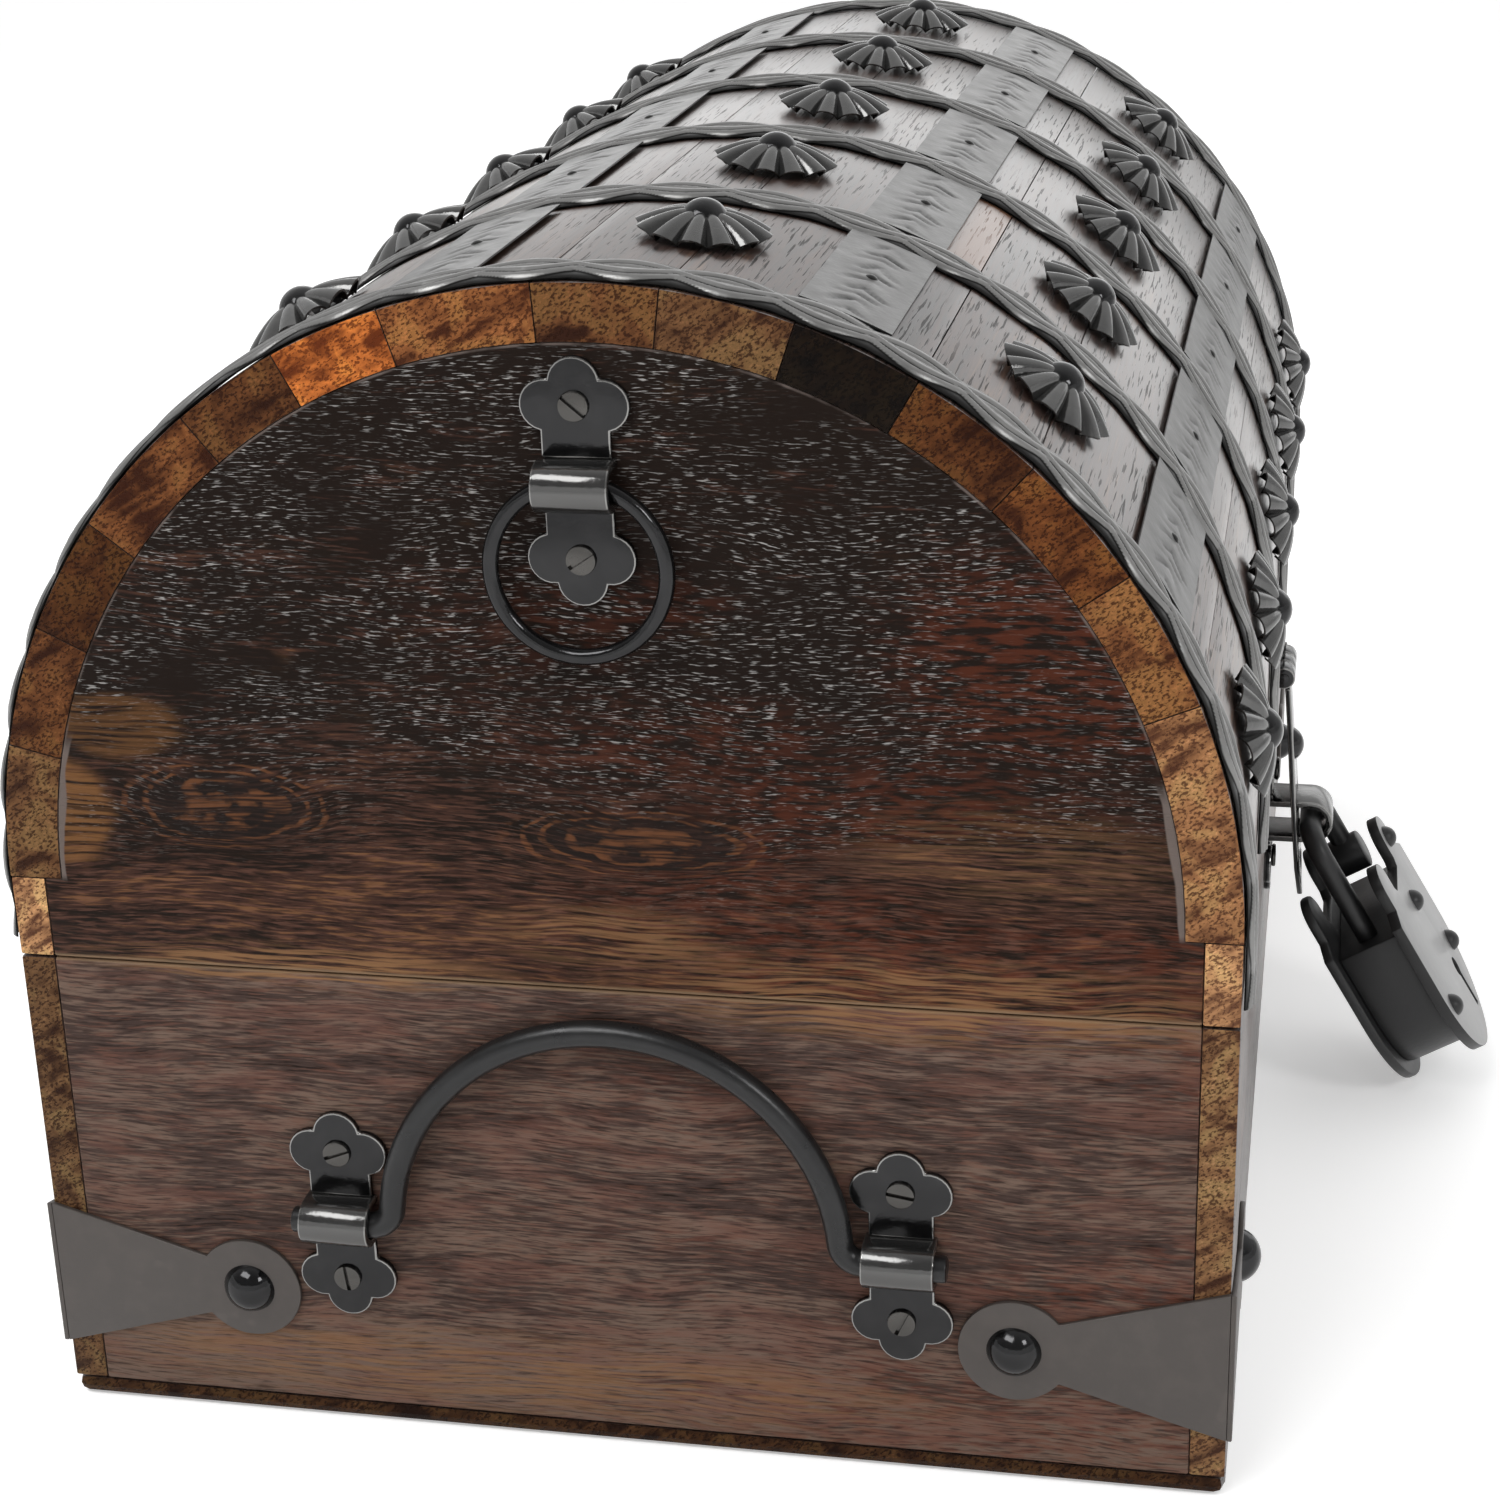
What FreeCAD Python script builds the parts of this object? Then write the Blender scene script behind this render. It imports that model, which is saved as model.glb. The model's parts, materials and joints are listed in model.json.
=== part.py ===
import FreeCAD, Part
import math
import os
from FreeCAD import Vector

# Treasure coffer with a stave-built round lid, iron fittings and a padlock.
# Length runs along X, the locked front faces -Y, and the origin is the middle of the underside.

# Base box
chest_length = 424.0
chest_width = 270.0
base_height = 115.0
wall = 8.0
bottom_thickness = 5.0
bottom_round = 4.0

# Round lid, with angles in degrees from the top line toward the front
lid_gap = 0.4
rail_height = 19.0
stave_thickness = 12.0
lid_end_thickness = 8.0
lid_side_angle = 90.0
stave_joint_angles = (-76.5, -64.2, -52.4, -38.5, -28.0, -17.4, -3.5, 7.6, 19.3, 30.6, 42.5, 54.7, 67.5)

# Cross straps and lengthwise bands
strap_count = 6
strap_width = 15.0
strap_thickness = 1.0
strap_end_gap = 4.0
band_angles = (-51.0, -14.0, 22.5, 58.5)
band_width = 20.0
band_thickness = 0.7
band_end_gap = 0.3
lid_seat_gap = 0.2

# Fluted rosettes and their nails
rosette_angles = (-70.0, -32.0, 7.0, 41.5, 78.0)
rosette_flutes = 12
rosette_radius = 14.8
rosette_valley_radius = 13.5
rosette_hub_height = 5.6
rosette_apex_height = 7.4
rosette_nail_radius = 5.3
rosette_nail_height = 3.2

# Corner brackets
bracket_thickness = 1.2
bracket_middle_height = 33.8
bracket_corner_height = 37.0
bracket_neck_height = 15.0
bracket_neck_share = 0.794
bracket_disc_radius = 12.4
bracket_strap_gap = 0.8
bracket_nail_radius = 6.1
bracket_nail_height = 4.2

# Saddle straps that hold the bails and the rings
saddle_length = 52.0
saddle_width = 16.0
saddle_thickness = 1.8
saddle_out = 4.8
lobe_radius = 5.4
lobe_spread = 6.0
lobe_back = 10.0
screw_back = 10.0
screw_radius = 3.2
screw_height = 1.1

# Bail handles on the base ends
bail_wire = 6.0
bail_radius_share = 0.3778
bail_bend = 5.0
bail_pin_past = 2.5
bail_pivot_share = 0.4826
bail_clearance = 0.4
bail_rest_gap = 0.3

# Ring pulls on the lid ends
ring_wire = 3.5
ring_radius = 18.4
ring_strap_gap = 2.4
ring_rise = 1.0

# Back hinges
hinge_length = 50.0
hinge_leaf_height = 15.0
hinge_plate = 1.5
hinge_barrel_radius = 3.0
hinge_pin_radius = 1.5
hinge_middle_knuckle = 18.0
hinge_play = 0.3
hinge_screw_spread = 16.0
pin_clearance = 0.15

# Hasp on the front
hasp_plate_width = 24.0
hasp_plate_height = 15.0
hasp_barrel_length = 20.0
hasp_middle_knuckle = 6.4
hasp_axis_rise = 4.0
hasp_screw_spread = 7.0
leaf_past_staple = 24.4
leaf_width = 23.0
leaf_thickness = 1.5
leaf_lean = 5.0
leaf_neck_length = 4.2
leaf_tip_width = 1.6
leaf_slot_clearance = 0.6
leaf_slot_margin = 1.6
leaf_shoulder_share = 0.58
leaf_shoulder_end_share = 0.26
leaf_swell_share = 0.48
leaf_taper_share = 0.82
boss_reach_share = 0.5225
boss_radius = 4.5
boss_height = 2.6

# Staple under the hasp
staple_height_share = 0.6652
staple_length = 46.0
staple_width = 14.0
staple_thickness = 1.8
staple_clearance = 1.2
shackle_leaf_gap = 0.5

# Padlock, tilted out with its foot just off the floor
# Its depths run down from the shackle's bar, as shares of the plates' whole depth
padlock_tilt = 30.5
shackle_wire = 6.0
shackle_spread = 34.0
shackle_bend = 8.0
shackle_entry = 6.0
shackle_eye_radius = 5.5
shackle_eye_width = 9.0
padlock_depth_share = 0.7087
ear_share = 0.27
ear_radius = 6.5
notch_share = 0.344
case_top_share = 0.405
case_width = 50.0
case_thickness = 17.4
plate_width = 58.0
plate_thickness = 3.0
case_inset = 4.0
pocket_clearance = 0.4
pocket_swing = 2.5
rivet_radius = 2.3
rivet_head_radius = 3.4
rivet_head_height = 2.2
rivet_clearance = 0.2
rivet_side = 21.0
rivet_low_share = 0.736
rivet_top_offset = 5.0
rivet_top_share = 0.466
keyhole_offset = 10.0
keyhole_share = 0.847
keyhole_length_share = 0.184
keyhole_width = 2.4

# Extra length by which a cutting shape passes the piece that it cuts
overrun = 1.0

# Flat sides that stand for a round one
nail_sides = 10
lobe_sides = 12
rod_sides = 16
disc_sides = 24
wire_sides = 8
bend_runs = 4
arch_runs = 16
ring_runs = 24
strap_runs = 24

# Places worked out from the sizes above
half_length = chest_length / 2
half_width = chest_width / 2
lid_bottom = base_height + lid_gap
spring_height = lid_bottom + rail_height
lid_radius = half_width
inner_radius = lid_radius - stave_thickness
seat_radius = lid_radius + lid_seat_gap
strap_pitch = (chest_length - strap_width) / (strap_count - 1)
strap_places = [strap_width / 2 - half_length + strap_pitch * number for number in range(strap_count)]
bay_places = [(first + second) / 2 for first, second in zip(strap_places, strap_places[1:])]
saddle_tunnel = bail_wire / 2 + bail_clearance
hinge_stand = hinge_barrel_radius + hinge_play
hinge_height = base_height + lid_gap / 2
hinge_out = half_width + hinge_stand
staple_height = base_height * staple_height_share
hasp_axis_height = lid_bottom + hasp_axis_rise
hasp_axis_out = half_width + hinge_stand
leaf_slope = math.radians(leaf_lean)
leaf_front_out = (
    hasp_axis_out
    + (hasp_axis_height - staple_height) * math.tan(leaf_slope)
    + leaf_thickness / math.cos(leaf_slope)
)
shackle_out = leaf_front_out + shackle_leaf_gap + shackle_wire / 2
staple_tunnel = shackle_wire / 2 + staple_clearance
leaf_slot_reach = (hasp_axis_height - staple_height) / math.cos(leaf_slope)
leaf_length = leaf_slot_reach + leaf_past_staple
plate_depth = base_height * padlock_depth_share
ear_depth = plate_depth * ear_share
notch_depth = plate_depth * notch_share
case_top_depth = plate_depth * case_top_share
ring_strap_height = spring_height + inner_radius - saddle_length / 2 - ring_strap_gap
bail_pivot_height = base_height * bail_pivot_share
bail_radius = half_width * bail_radius_share
bail_span = math.sqrt((bail_radius + bail_bend) ** 2 - bail_bend**2)
bail_strap_place = bail_span + saddle_width / 2
bracket_disc_reach = (
    half_width
    - bail_strap_place
    - lobe_spread
    - lobe_radius
    - bracket_strap_gap
    - bracket_disc_radius
)
bracket_neck_reach = bracket_disc_reach * bracket_neck_share
bail_lean = math.degrees(math.asin((saddle_out - bail_wire / 2 - bail_rest_gap) / bail_radius))

X = Vector(1, 0, 0)
Y = Vector(0, 1, 0)
Z = Vector(0, 0, 1)
CENTRE = Vector(0, 0, 0)


def prism(edges, direction):
    """The solid made by pushing a closed outline along a direction."""
    return Part.Face(Part.Wire(Part.__sortEdges__(edges))).extrude(direction)


def line(start, end):
    return Part.LineSegment(start, end).toShape()


def arc(start, middle, end):
    return Part.Arc(start, middle, end).toShape()


def path(points):
    """Straight edges through the points, in order."""
    return [line(start, end) for start, end in zip(points, points[1:])]


def block(x_low, x_high, y_low, y_high, z_low, z_high):
    corner = Vector(x_low, y_low, z_low)
    return Part.makeBox(x_high - x_low, y_high - y_low, z_high - z_low, corner)


def one_solid(shapes):
    """Joins the shapes into one solid."""
    return shapes[0].fuse(shapes[1:]).removeSplitter()


def group(shapes):
    return Part.makeCompound(shapes)


def round_points(radius, height, sides):
    """Corners of a level many-sided ring round the Z axis."""
    turns = [2 * math.pi * number / sides for number in range(sides)]
    return [Vector(radius * math.cos(turn), radius * math.sin(turn), height) for turn in turns]


def arc_points(centre, radius, low, high, runs):
    """Points along an arc in the XZ plane, between two angles from +X toward +Z in degrees."""
    turns = [math.radians(low + (high - low) * number / runs) for number in range(runs + 1)]
    return [centre + Vector(radius * math.cos(turn), 0, radius * math.sin(turn)) for turn in turns]


def skin(rings, closed=False):
    """A solid with flat faces from ring to ring; a last ring of one point is a tip."""
    faces = []
    pairs = list(zip(rings, rings[1:]))
    if closed:
        pairs.append((rings[-1], rings[0]))
    for low, high in pairs:
        for number, corner in enumerate(low):
            after = (number + 1) % len(low)
            top = [high[after], high[number]] if len(high) > 1 else high
            faces.append(Part.Face(Part.makePolygon([corner, low[after], *top, corner])))
    if not closed:
        ends = [ring for ring in (rings[0], rings[-1]) if len(ring) > 1]
        faces += [Part.Face(Part.makePolygon([*ring, ring[0]])) for ring in ends]
    return Part.makeSolid(Part.makeShell(faces))


def bar(points, radius, closed=False):
    """A many-sided bar through points in the XZ plane, mitred where it bends."""
    ends = [points[-1], *points, points[0]] if closed else [points[0], *points, points[-1]]
    rings = []
    for before, point, after in zip(ends, points, ends[2:]):
        ways = [run.normalize() for run in (point - before, after - point) if run.Length > 0]
        sides = [Y.cross(way) for way in ways]
        mitre = (sides[0] + sides[-1]) / (1 + sides[0].dot(sides[-1]))
        flat = round_points(radius, 0, wire_sides)
        rings.append([point + mitre * corner.x + Y * corner.y for corner in flat])
    return skin(rings, closed)


def rod(radius, sides, start, run):
    """A many-sided rod that runs from a start."""
    turn = FreeCAD.Rotation(Z, run)
    flat = [start + turn.multVec(corner) for corner in round_points(radius, 0, sides)]
    return Part.Face(Part.makePolygon([*flat, flat[0]])).extrude(run)


def dome(radius, height):
    """A round nail head: a flat face at the origin and a rounded top toward +Z."""
    ball = (radius**2 + height**2) / (2 * height)
    turn = math.asin(radius / ball) / 2
    middle = round_points(ball * math.sin(turn), height - ball + ball * math.cos(turn), nail_sides)
    return skin([round_points(radius, 0, nail_sides), middle, [Vector(0, 0, height)]])


def out_front(shape):
    """Turns a piece that points along +Z so that it points along -Y."""
    return shape.rotated(CENTRE, X, 90)


def on_end(shape, side, place, height):
    """Sets a piece made for the front (-Y) on the end board of one side, -1 or +1."""
    turned = shape.rotated(CENTRE, Z, side * 90)
    return turned.translated(Vector(side * half_length, place, height))


def on_lid(shape, place, angle):
    """Sets a piece made on the top line of the lid at a place along X and an angle toward the front."""
    lifted = shape.translated(Vector(0, 0, seat_radius))
    return lifted.rotated(CENTRE, X, angle).translated(Vector(place, 0, spring_height))


def lid_point(radius, angle):
    turn = math.radians(angle)
    return Vector(-half_length, -radius * math.sin(turn), spring_height + radius * math.cos(turn))


def lid_sector(low_radius, high_radius, low_angle, high_angle, length):
    """A curved board of the lid between two radii and two angles, from the -X end."""
    middle = (low_angle + high_angle) / 2
    low, high = low_angle, high_angle
    edges = [
        arc(lid_point(high_radius, low), lid_point(high_radius, middle), lid_point(high_radius, high)),
        line(lid_point(high_radius, high), lid_point(low_radius, high)),
        arc(lid_point(low_radius, high), lid_point(low_radius, middle), lid_point(low_radius, low)),
        line(lid_point(low_radius, low), lid_point(high_radius, low)),
    ]
    return prism(edges, Vector(length, 0, 0))


def base_boards():
    bottom = block(-half_length, half_length, -half_width, half_width, 0, bottom_thickness)
    low_edges = [edge for edge in bottom.Edges if edge.BoundBox.ZMax < bottom_thickness / 2]
    boards = {"base_bottom": bottom.makeFillet(bottom_round, low_edges)}
    inner = half_width - wall
    long_ends = (-half_length, half_length)
    boards["base_front"] = block(*long_ends, -half_width, -inner, bottom_thickness, base_height)
    boards["base_back"] = block(*long_ends, inner, half_width, bottom_thickness, base_height)
    boards["base_end_left"] = block(
        -half_length, wall - half_length, -inner, inner, bottom_thickness, base_height
    )
    boards["base_end_right"] = block(
        half_length - wall, half_length, -inner, inner, bottom_thickness, base_height
    )
    return boards


def lid_end():
    """The D-shaped board at the -X end: a half disc under the staves on a strip between the rails."""
    inner = half_width - wall
    low_right = Vector(-half_length, inner, lid_bottom)
    high_right = Vector(-half_length, inner, spring_height)
    low_left = Vector(-half_length, -inner, lid_bottom)
    high_left = Vector(-half_length, -inner, spring_height)
    arc_right = lid_point(inner_radius, -lid_side_angle)
    arc_left = lid_point(inner_radius, lid_side_angle)
    edges = path([arc_left, high_left, low_left, low_right, high_right, arc_right])
    edges.append(arc(arc_right, lid_point(inner_radius, 0), arc_left))
    return prism(edges, Vector(lid_end_thickness, 0, 0))


def lid_boards():
    inner = half_width - wall
    long_ends = (-half_length, half_length)
    boards = {
        "lid_rail_front": block(*long_ends, -half_width, -inner, lid_bottom, spring_height),
        "lid_rail_back": block(*long_ends, inner, half_width, lid_bottom, spring_height),
        "lid_end_left": lid_end(),
        "lid_end_right": lid_end().mirror(CENTRE, X),
    }
    joints = (-lid_side_angle, *stave_joint_angles, lid_side_angle)
    for number, (low, high) in enumerate(zip(joints, joints[1:]), start=1):
        boards[f"lid_stave_{number:02d}"] = lid_sector(inner_radius, lid_radius, low, high, chest_length)
    return boards


def lid_strap(place):
    """A metal strap bent over the staves, with straight ends down the rails."""
    half_turn = math.radians(lid_side_angle / strap_runs)
    inner = seat_radius / math.cos(half_turn)
    drop = Vector(0, 0, lid_bottom + strap_end_gap - spring_height)
    turns = [lid_side_angle * (2 * number / strap_runs - 1) for number in range(strap_runs + 1)]
    low = [lid_point(inner, angle) for angle in turns]
    high = [lid_point(inner + strap_thickness, angle) for angle in reversed(turns)]
    outline = [low[0] + drop, *low, low[-1] + drop, high[0] + drop, *high, high[-1] + drop, low[0] + drop]
    strap = prism(path(outline), Vector(strap_width, 0, 0))
    return strap.translated(Vector(place + half_length - strap_width / 2, 0, 0))


def lid_bands():
    """Strips of the lengthwise bands, one for each bay between two straps."""
    half_angle = math.degrees(band_width / 2 / lid_radius)
    strip_length = strap_pitch - strap_width - 2 * band_end_gap
    outer = seat_radius + band_thickness
    strips = []
    for angle in band_angles:
        strip = lid_sector(seat_radius, outer, angle - half_angle, angle + half_angle, strip_length)
        for place in bay_places:
            strips.append(strip.translated(Vector(place + half_length - strip_length / 2, 0, 0)))
    return group(strips)


def rosette():
    """A pleated cone: ridges and valleys run from a star-shaped hub to a scalloped rim."""
    rim, hub = [], []
    for number in range(2 * rosette_flutes):
        reach = rosette_radius if number % 2 == 0 else rosette_valley_radius
        turn = math.pi * number / rosette_flutes
        way = Vector(math.cos(turn), math.sin(turn), 0)
        rim.append(way * reach)
        hub.append(way * reach * (1 - rosette_hub_height / rosette_apex_height) + Z * rosette_hub_height)
    return skin([rim, hub])


def rosettes():
    cone = rosette()
    nail = dome(rosette_nail_radius, rosette_nail_height).translated(Vector(0, 0, rosette_hub_height))
    spots = [(place, angle) for place in bay_places for angle in rosette_angles]
    cones = [on_lid(cone, place, angle) for place, angle in spots]
    nails = [on_lid(nail, place, angle) for place, angle in spots]
    return {"rosettes": group(cones), "rosette_nails": group(nails)}


def bracket_arm():
    """One arm of a corner bracket on the front face, from the corner at the origin toward +X."""
    half_corner = bracket_corner_height / 2
    half_neck = bracket_neck_height / 2
    start = -bracket_thickness
    outline = [
        Vector(start, 0, -half_corner),
        Vector(bracket_neck_reach, 0, -half_neck),
        Vector(bracket_disc_reach, 0, -half_neck),
        Vector(bracket_disc_reach, 0, half_neck),
        Vector(bracket_neck_reach, 0, half_neck),
        Vector(start, 0, half_corner),
        Vector(start, 0, -half_corner),
    ]
    depth = Vector(0, -bracket_thickness, 0)
    disc_middle = Vector(bracket_disc_reach, 0, 0)
    return one_solid([prism(path(outline), depth), rod(bracket_disc_radius, disc_sides, disc_middle, depth)])


def corner_brackets():
    """Four bent brackets and the nails through their round ends."""
    front_arm = bracket_arm()
    end_arm = front_arm.mirror(CENTRE, Vector(1, -1, 0))
    bracket = one_solid([front_arm, end_arm])
    nail = dome(bracket_nail_radius, bracket_nail_height)
    front_nail = out_front(nail).translated(Vector(bracket_disc_reach, -bracket_thickness, 0))
    end_nail = front_nail.mirror(CENTRE, Vector(1, -1, 0))
    corner = Vector(-half_length, -half_width, bracket_middle_height)
    pieces = [piece.translated(corner) for piece in (bracket, front_nail, end_nail)]
    nodes = {}
    nails = []
    for along, across in (("left", "front"), ("right", "front"), ("left", "back"), ("right", "back")):
        placed = pieces
        if along == "right":
            placed = [piece.mirror(CENTRE, X) for piece in placed]
        if across == "back":
            placed = [piece.mirror(CENTRE, Y) for piece in placed]
        nodes[f"corner_bracket_{across}_{along}"] = placed[0]
        nails += placed[1:]
    nodes["bracket_nails"] = group(nails)
    return nodes


def saddle_strap(length, width, thickness, tunnel, out):
    """A strap bent over a bar, with three-lobed feet, on the front face and centred on the bar.

    The tunnel's radius and its distance out from the face set the bend.
    """
    high = length / 2
    outer = tunnel + thickness
    crown = []
    for radius in (outer, tunnel):
        bend = arc_points(CENTRE, radius, 90, -90, 2 * bend_runs)
        crown.append([Vector(0, -out - point.x, point.z) for point in bend])
    foot = [Vector(0, -thickness, outer), Vector(0, -thickness, high), Vector(0, 0, high), Vector(0, 0, tunnel)]
    lower = [Vector(0, point.y, -point.z) for point in foot]
    outline = [*reversed(foot), *crown[0], *lower, *reversed(crown[1]), foot[-1]]
    reach = lobe_spread + lobe_radius
    side = Vector(-reach, 0, 0)
    bent = prism([edge.translated(side) for edge in path(outline)], side * -2)
    depth = Vector(0, -out - outer - overrun, 0)
    plan = [block(-width / 2, width / 2, depth.y, 0, lobe_back - high, high - lobe_back)]
    for way in (-1, 1):
        spots = [(0, high - lobe_radius), (-lobe_spread, high - lobe_back), (lobe_spread, high - lobe_back)]
        plan += [rod(lobe_radius, lobe_sides, Vector(spread, 0, way * rise), depth) for spread, rise in spots]
    return bent.common(one_solid(plan))


def screw_head():
    """A flat round head on the front face, at the origin."""
    return rod(screw_radius, nail_sides, CENTRE, Vector(0, -screw_height, 0))


def strap_screws(length, thickness):
    """The two screw heads on the feet of a saddle strap."""
    rises = [way * (length / 2 - screw_back) for way in (-1, 1)]
    return [screw_head().translated(Vector(0, -thickness, rise)) for rise in rises]


def small_saddle():
    return saddle_strap(saddle_length, saddle_width, saddle_thickness, saddle_tunnel, saddle_out)


def bail():
    """A half-round handle whose ends turn outward into pins, leaning on the board, pivot at the origin."""
    pin_end = bail_strap_place + saddle_width / 2 + bail_pin_past
    slope = math.degrees(math.atan2(bail_bend, bail_span))
    bend = arc_points(Vector(bail_span, 0, bail_bend), bail_bend, -90, slope - 180, bend_runs)
    right = [Vector(pin_end, 0, 0), *bend]
    left = [Vector(-point.x, 0, point.z) for point in reversed(right)]
    arch = arc_points(CENTRE, bail_radius, slope, 180 - slope, arch_runs)
    handle = bar([*right, *arch[1:-1], *left], bail_wire / 2)
    return handle.rotated(CENTRE, X, -bail_lean).translated(Vector(0, -saddle_out, 0))


def ring():
    """A round ring hanging in its saddle, with the saddle's middle at the origin."""
    middle = Vector(0, -saddle_out, ring_rise - ring_radius)
    return bar(arc_points(middle, ring_radius, 0, 360, ring_runs)[1:], ring_wire / 2, closed=True)


def end_fittings():
    """Carrying handles on the base ends and ring pulls on the lid ends."""
    strap = small_saddle()
    screws = strap_screws(saddle_length, saddle_thickness)
    nodes = {}
    base_heads = []
    lid_heads = []
    for name, side in (("left", -1), ("right", 1)):
        straps = []
        for way in (-1, 1):
            spot = (side, way * bail_strap_place, bail_pivot_height)
            straps.append(on_end(strap, *spot))
            base_heads += [on_end(head, *spot) for head in screws]
        nodes[f"bail_straps_{name}"] = group(straps)
        nodes[f"bail_{name}"] = on_end(bail(), side, 0, bail_pivot_height)
        nodes[f"ring_strap_{name}"] = on_end(strap, side, 0, ring_strap_height)
        nodes[f"ring_{name}"] = on_end(ring(), side, 0, ring_strap_height)
        lid_heads += [on_end(head, side, 0, ring_strap_height) for head in screws]
    return nodes, base_heads, lid_heads


def knuckle_spans(length, middle):
    """Where the three knuckles of a barrel lie along X: the outer pair, and the middle one."""
    inner = middle / 2 + hinge_play
    return [(-length / 2, -inner), (inner, length / 2)], [(-middle / 2, middle / 2)]


def barrel_rods(spans, radius):
    return [rod(radius, rod_sides, X * low, X * (high - low)) for low, high in spans]


def hinge_bore(length):
    past = X * (length / 2 + overrun)
    return rod(hinge_pin_radius + pin_clearance, rod_sides, -past, past * 2)


def hinge_half(length, height, barrel, way, own, other):
    """A plate with its knuckles, barrel axis on X and the wood's face at +Y; way is up (1) or down (-1)."""
    low, high = sorted((way * hinge_play, way * height))
    plate = block(-length / 2, length / 2, hinge_stand - hinge_plate, hinge_stand, low, high)
    knuckles = barrel_rods(own, hinge_barrel_radius)
    room = [(start - hinge_play, end + hinge_play) for start, end in other]
    cuts = barrel_rods(room, hinge_barrel_radius + hinge_play)
    return one_solid([plate.cut(cuts), *knuckles]).cut(hinge_bore(barrel))


def hinge_screws(spread, height):
    """Two screw heads on a hinge plate."""
    spots = [Vector(way * spread, hinge_stand - hinge_plate, height) for way in (-1, 1)]
    return [screw_head().translated(spot) for spot in spots]


def hinge_pin(length):
    return rod(hinge_pin_radius, rod_sides, X * (-length / 2), X * length)


def back_hinges():
    """Two butt hinges on the back, in the middle of the second and fourth bays."""
    outer, middle = knuckle_spans(hinge_length, hinge_middle_knuckle)
    base_half = hinge_half(hinge_length, hinge_leaf_height, hinge_length, -1, outer, middle)
    lid_half = hinge_half(hinge_length, hinge_leaf_height, hinge_length, 1, middle, outer)
    screw_height_on_leaf = (hinge_leaf_height + hinge_barrel_radius) / 2
    base_heads = hinge_screws(hinge_screw_spread, -screw_height_on_leaf)
    lid_heads = hinge_screws(hinge_screw_spread, screw_height_on_leaf)
    spots = [Vector(place, hinge_out, hinge_height) for place in (bay_places[1], bay_places[-2])]

    def on_back(shapes):
        return [shape.rotated(CENTRE, Z, 180).translated(spot) for spot in spots for shape in shapes]

    nodes = {
        "hinge_base_leaves": group(on_back([base_half])),
        "hinge_lid_leaves": group(on_back([lid_half])),
        "hinge_pins": group(on_back([hinge_pin(hinge_length)])),
    }
    return nodes, on_back(base_heads), on_back(lid_heads)


def hasp_leaf():
    """The hanging leaf: a knuckle, a spear-shaped plate and a slot for the staple, barrel axis on X."""
    middle = knuckle_spans(hasp_barrel_length, hasp_middle_knuckle)[1]
    half_neck = hasp_middle_knuckle / 2
    half = leaf_width / 2
    shoulder = half * leaf_shoulder_share
    right = [
        Vector(half_neck, 0, 0),
        Vector(half_neck, 0, -leaf_neck_length),
        Vector(shoulder, 0, -leaf_neck_length),
        Vector(shoulder, 0, -leaf_length * leaf_shoulder_end_share),
        Vector(half, 0, -leaf_length * leaf_swell_share),
        Vector(half, 0, -leaf_length * leaf_taper_share),
        Vector(leaf_tip_width / 2, 0, -leaf_length),
    ]
    left = [Vector(-point.x, 0, point.z) for point in reversed(right)]
    plate = prism(path([*right, *left, right[0]]), Vector(0, -leaf_thickness, 0))
    slot_half = staple_width / 2 + leaf_slot_clearance
    slot_high = staple_tunnel + staple_thickness + leaf_slot_margin
    low = -leaf_slot_reach - slot_high
    slot = block(-slot_half, slot_half, -leaf_thickness - overrun, overrun, low, low + 2 * slot_high)
    knuckle = barrel_rods(middle, hinge_barrel_radius)
    return one_solid([plate.cut(slot), *knuckle]).cut(hinge_bore(hasp_barrel_length))


def hasp():
    """The hasp's plate, pin, leaf and boss, and the staple that comes through the leaf."""
    outer, middle = knuckle_spans(hasp_barrel_length, hasp_middle_knuckle)
    plate = hinge_half(hasp_plate_width, hasp_plate_height, hasp_barrel_length, 1, outer, middle)
    heads = hinge_screws(hasp_screw_spread, (hasp_plate_height + hinge_barrel_radius) / 2)
    boss_spot = Vector(0, -leaf_thickness, -leaf_slot_reach * boss_reach_share)
    boss = out_front(dome(boss_radius, boss_height)).translated(boss_spot)
    axis = Vector(0, -hasp_axis_out, hasp_axis_height)
    staple_out = shackle_out - half_width
    staple = saddle_strap(staple_length, staple_width, staple_thickness, staple_tunnel, staple_out)
    staple_spot = Vector(0, -half_width, staple_height)
    nodes = {
        "hasp_plate": plate.translated(axis),
        "hasp_pin": hinge_pin(hasp_barrel_length).translated(axis),
        "hasp_leaf": hasp_leaf().rotated(CENTRE, X, -leaf_lean).translated(axis),
        "hasp_boss": boss.rotated(CENTRE, X, -leaf_lean).translated(axis),
        "hasp_staple": staple.translated(staple_spot),
    }
    staple_heads = [head.translated(staple_spot) for head in strap_screws(staple_length, staple_thickness)]
    return nodes, staple_heads, [head.translated(axis) for head in heads]


def padlock_shackle():
    """The bent bar: one leg ends in the case, the other in an eye on the ear rivet."""
    side = shackle_spread / 2
    bend = shackle_bend
    left = arc_points(Vector(bend - side, 0, -bend), bend, 180, 90, bend_runs)
    right = arc_points(Vector(side - bend, 0, -bend), bend, 90, 0, bend_runs)
    ends = [Vector(-side, 0, -case_top_depth - shackle_entry), Vector(side, 0, -ear_depth)]
    half_eye = Vector(0, shackle_eye_width / 2, 0)
    eye = rod(shackle_eye_radius, lobe_sides, ends[1] - half_eye, half_eye * 2)
    hole = rod(rivet_radius + rivet_clearance, rod_sides, ends[1] - half_eye * 2, half_eye * 4)
    return one_solid([bar([ends[0], *left, *right, ends[1]], shackle_wire / 2), eye]).cut(hole)


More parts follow.
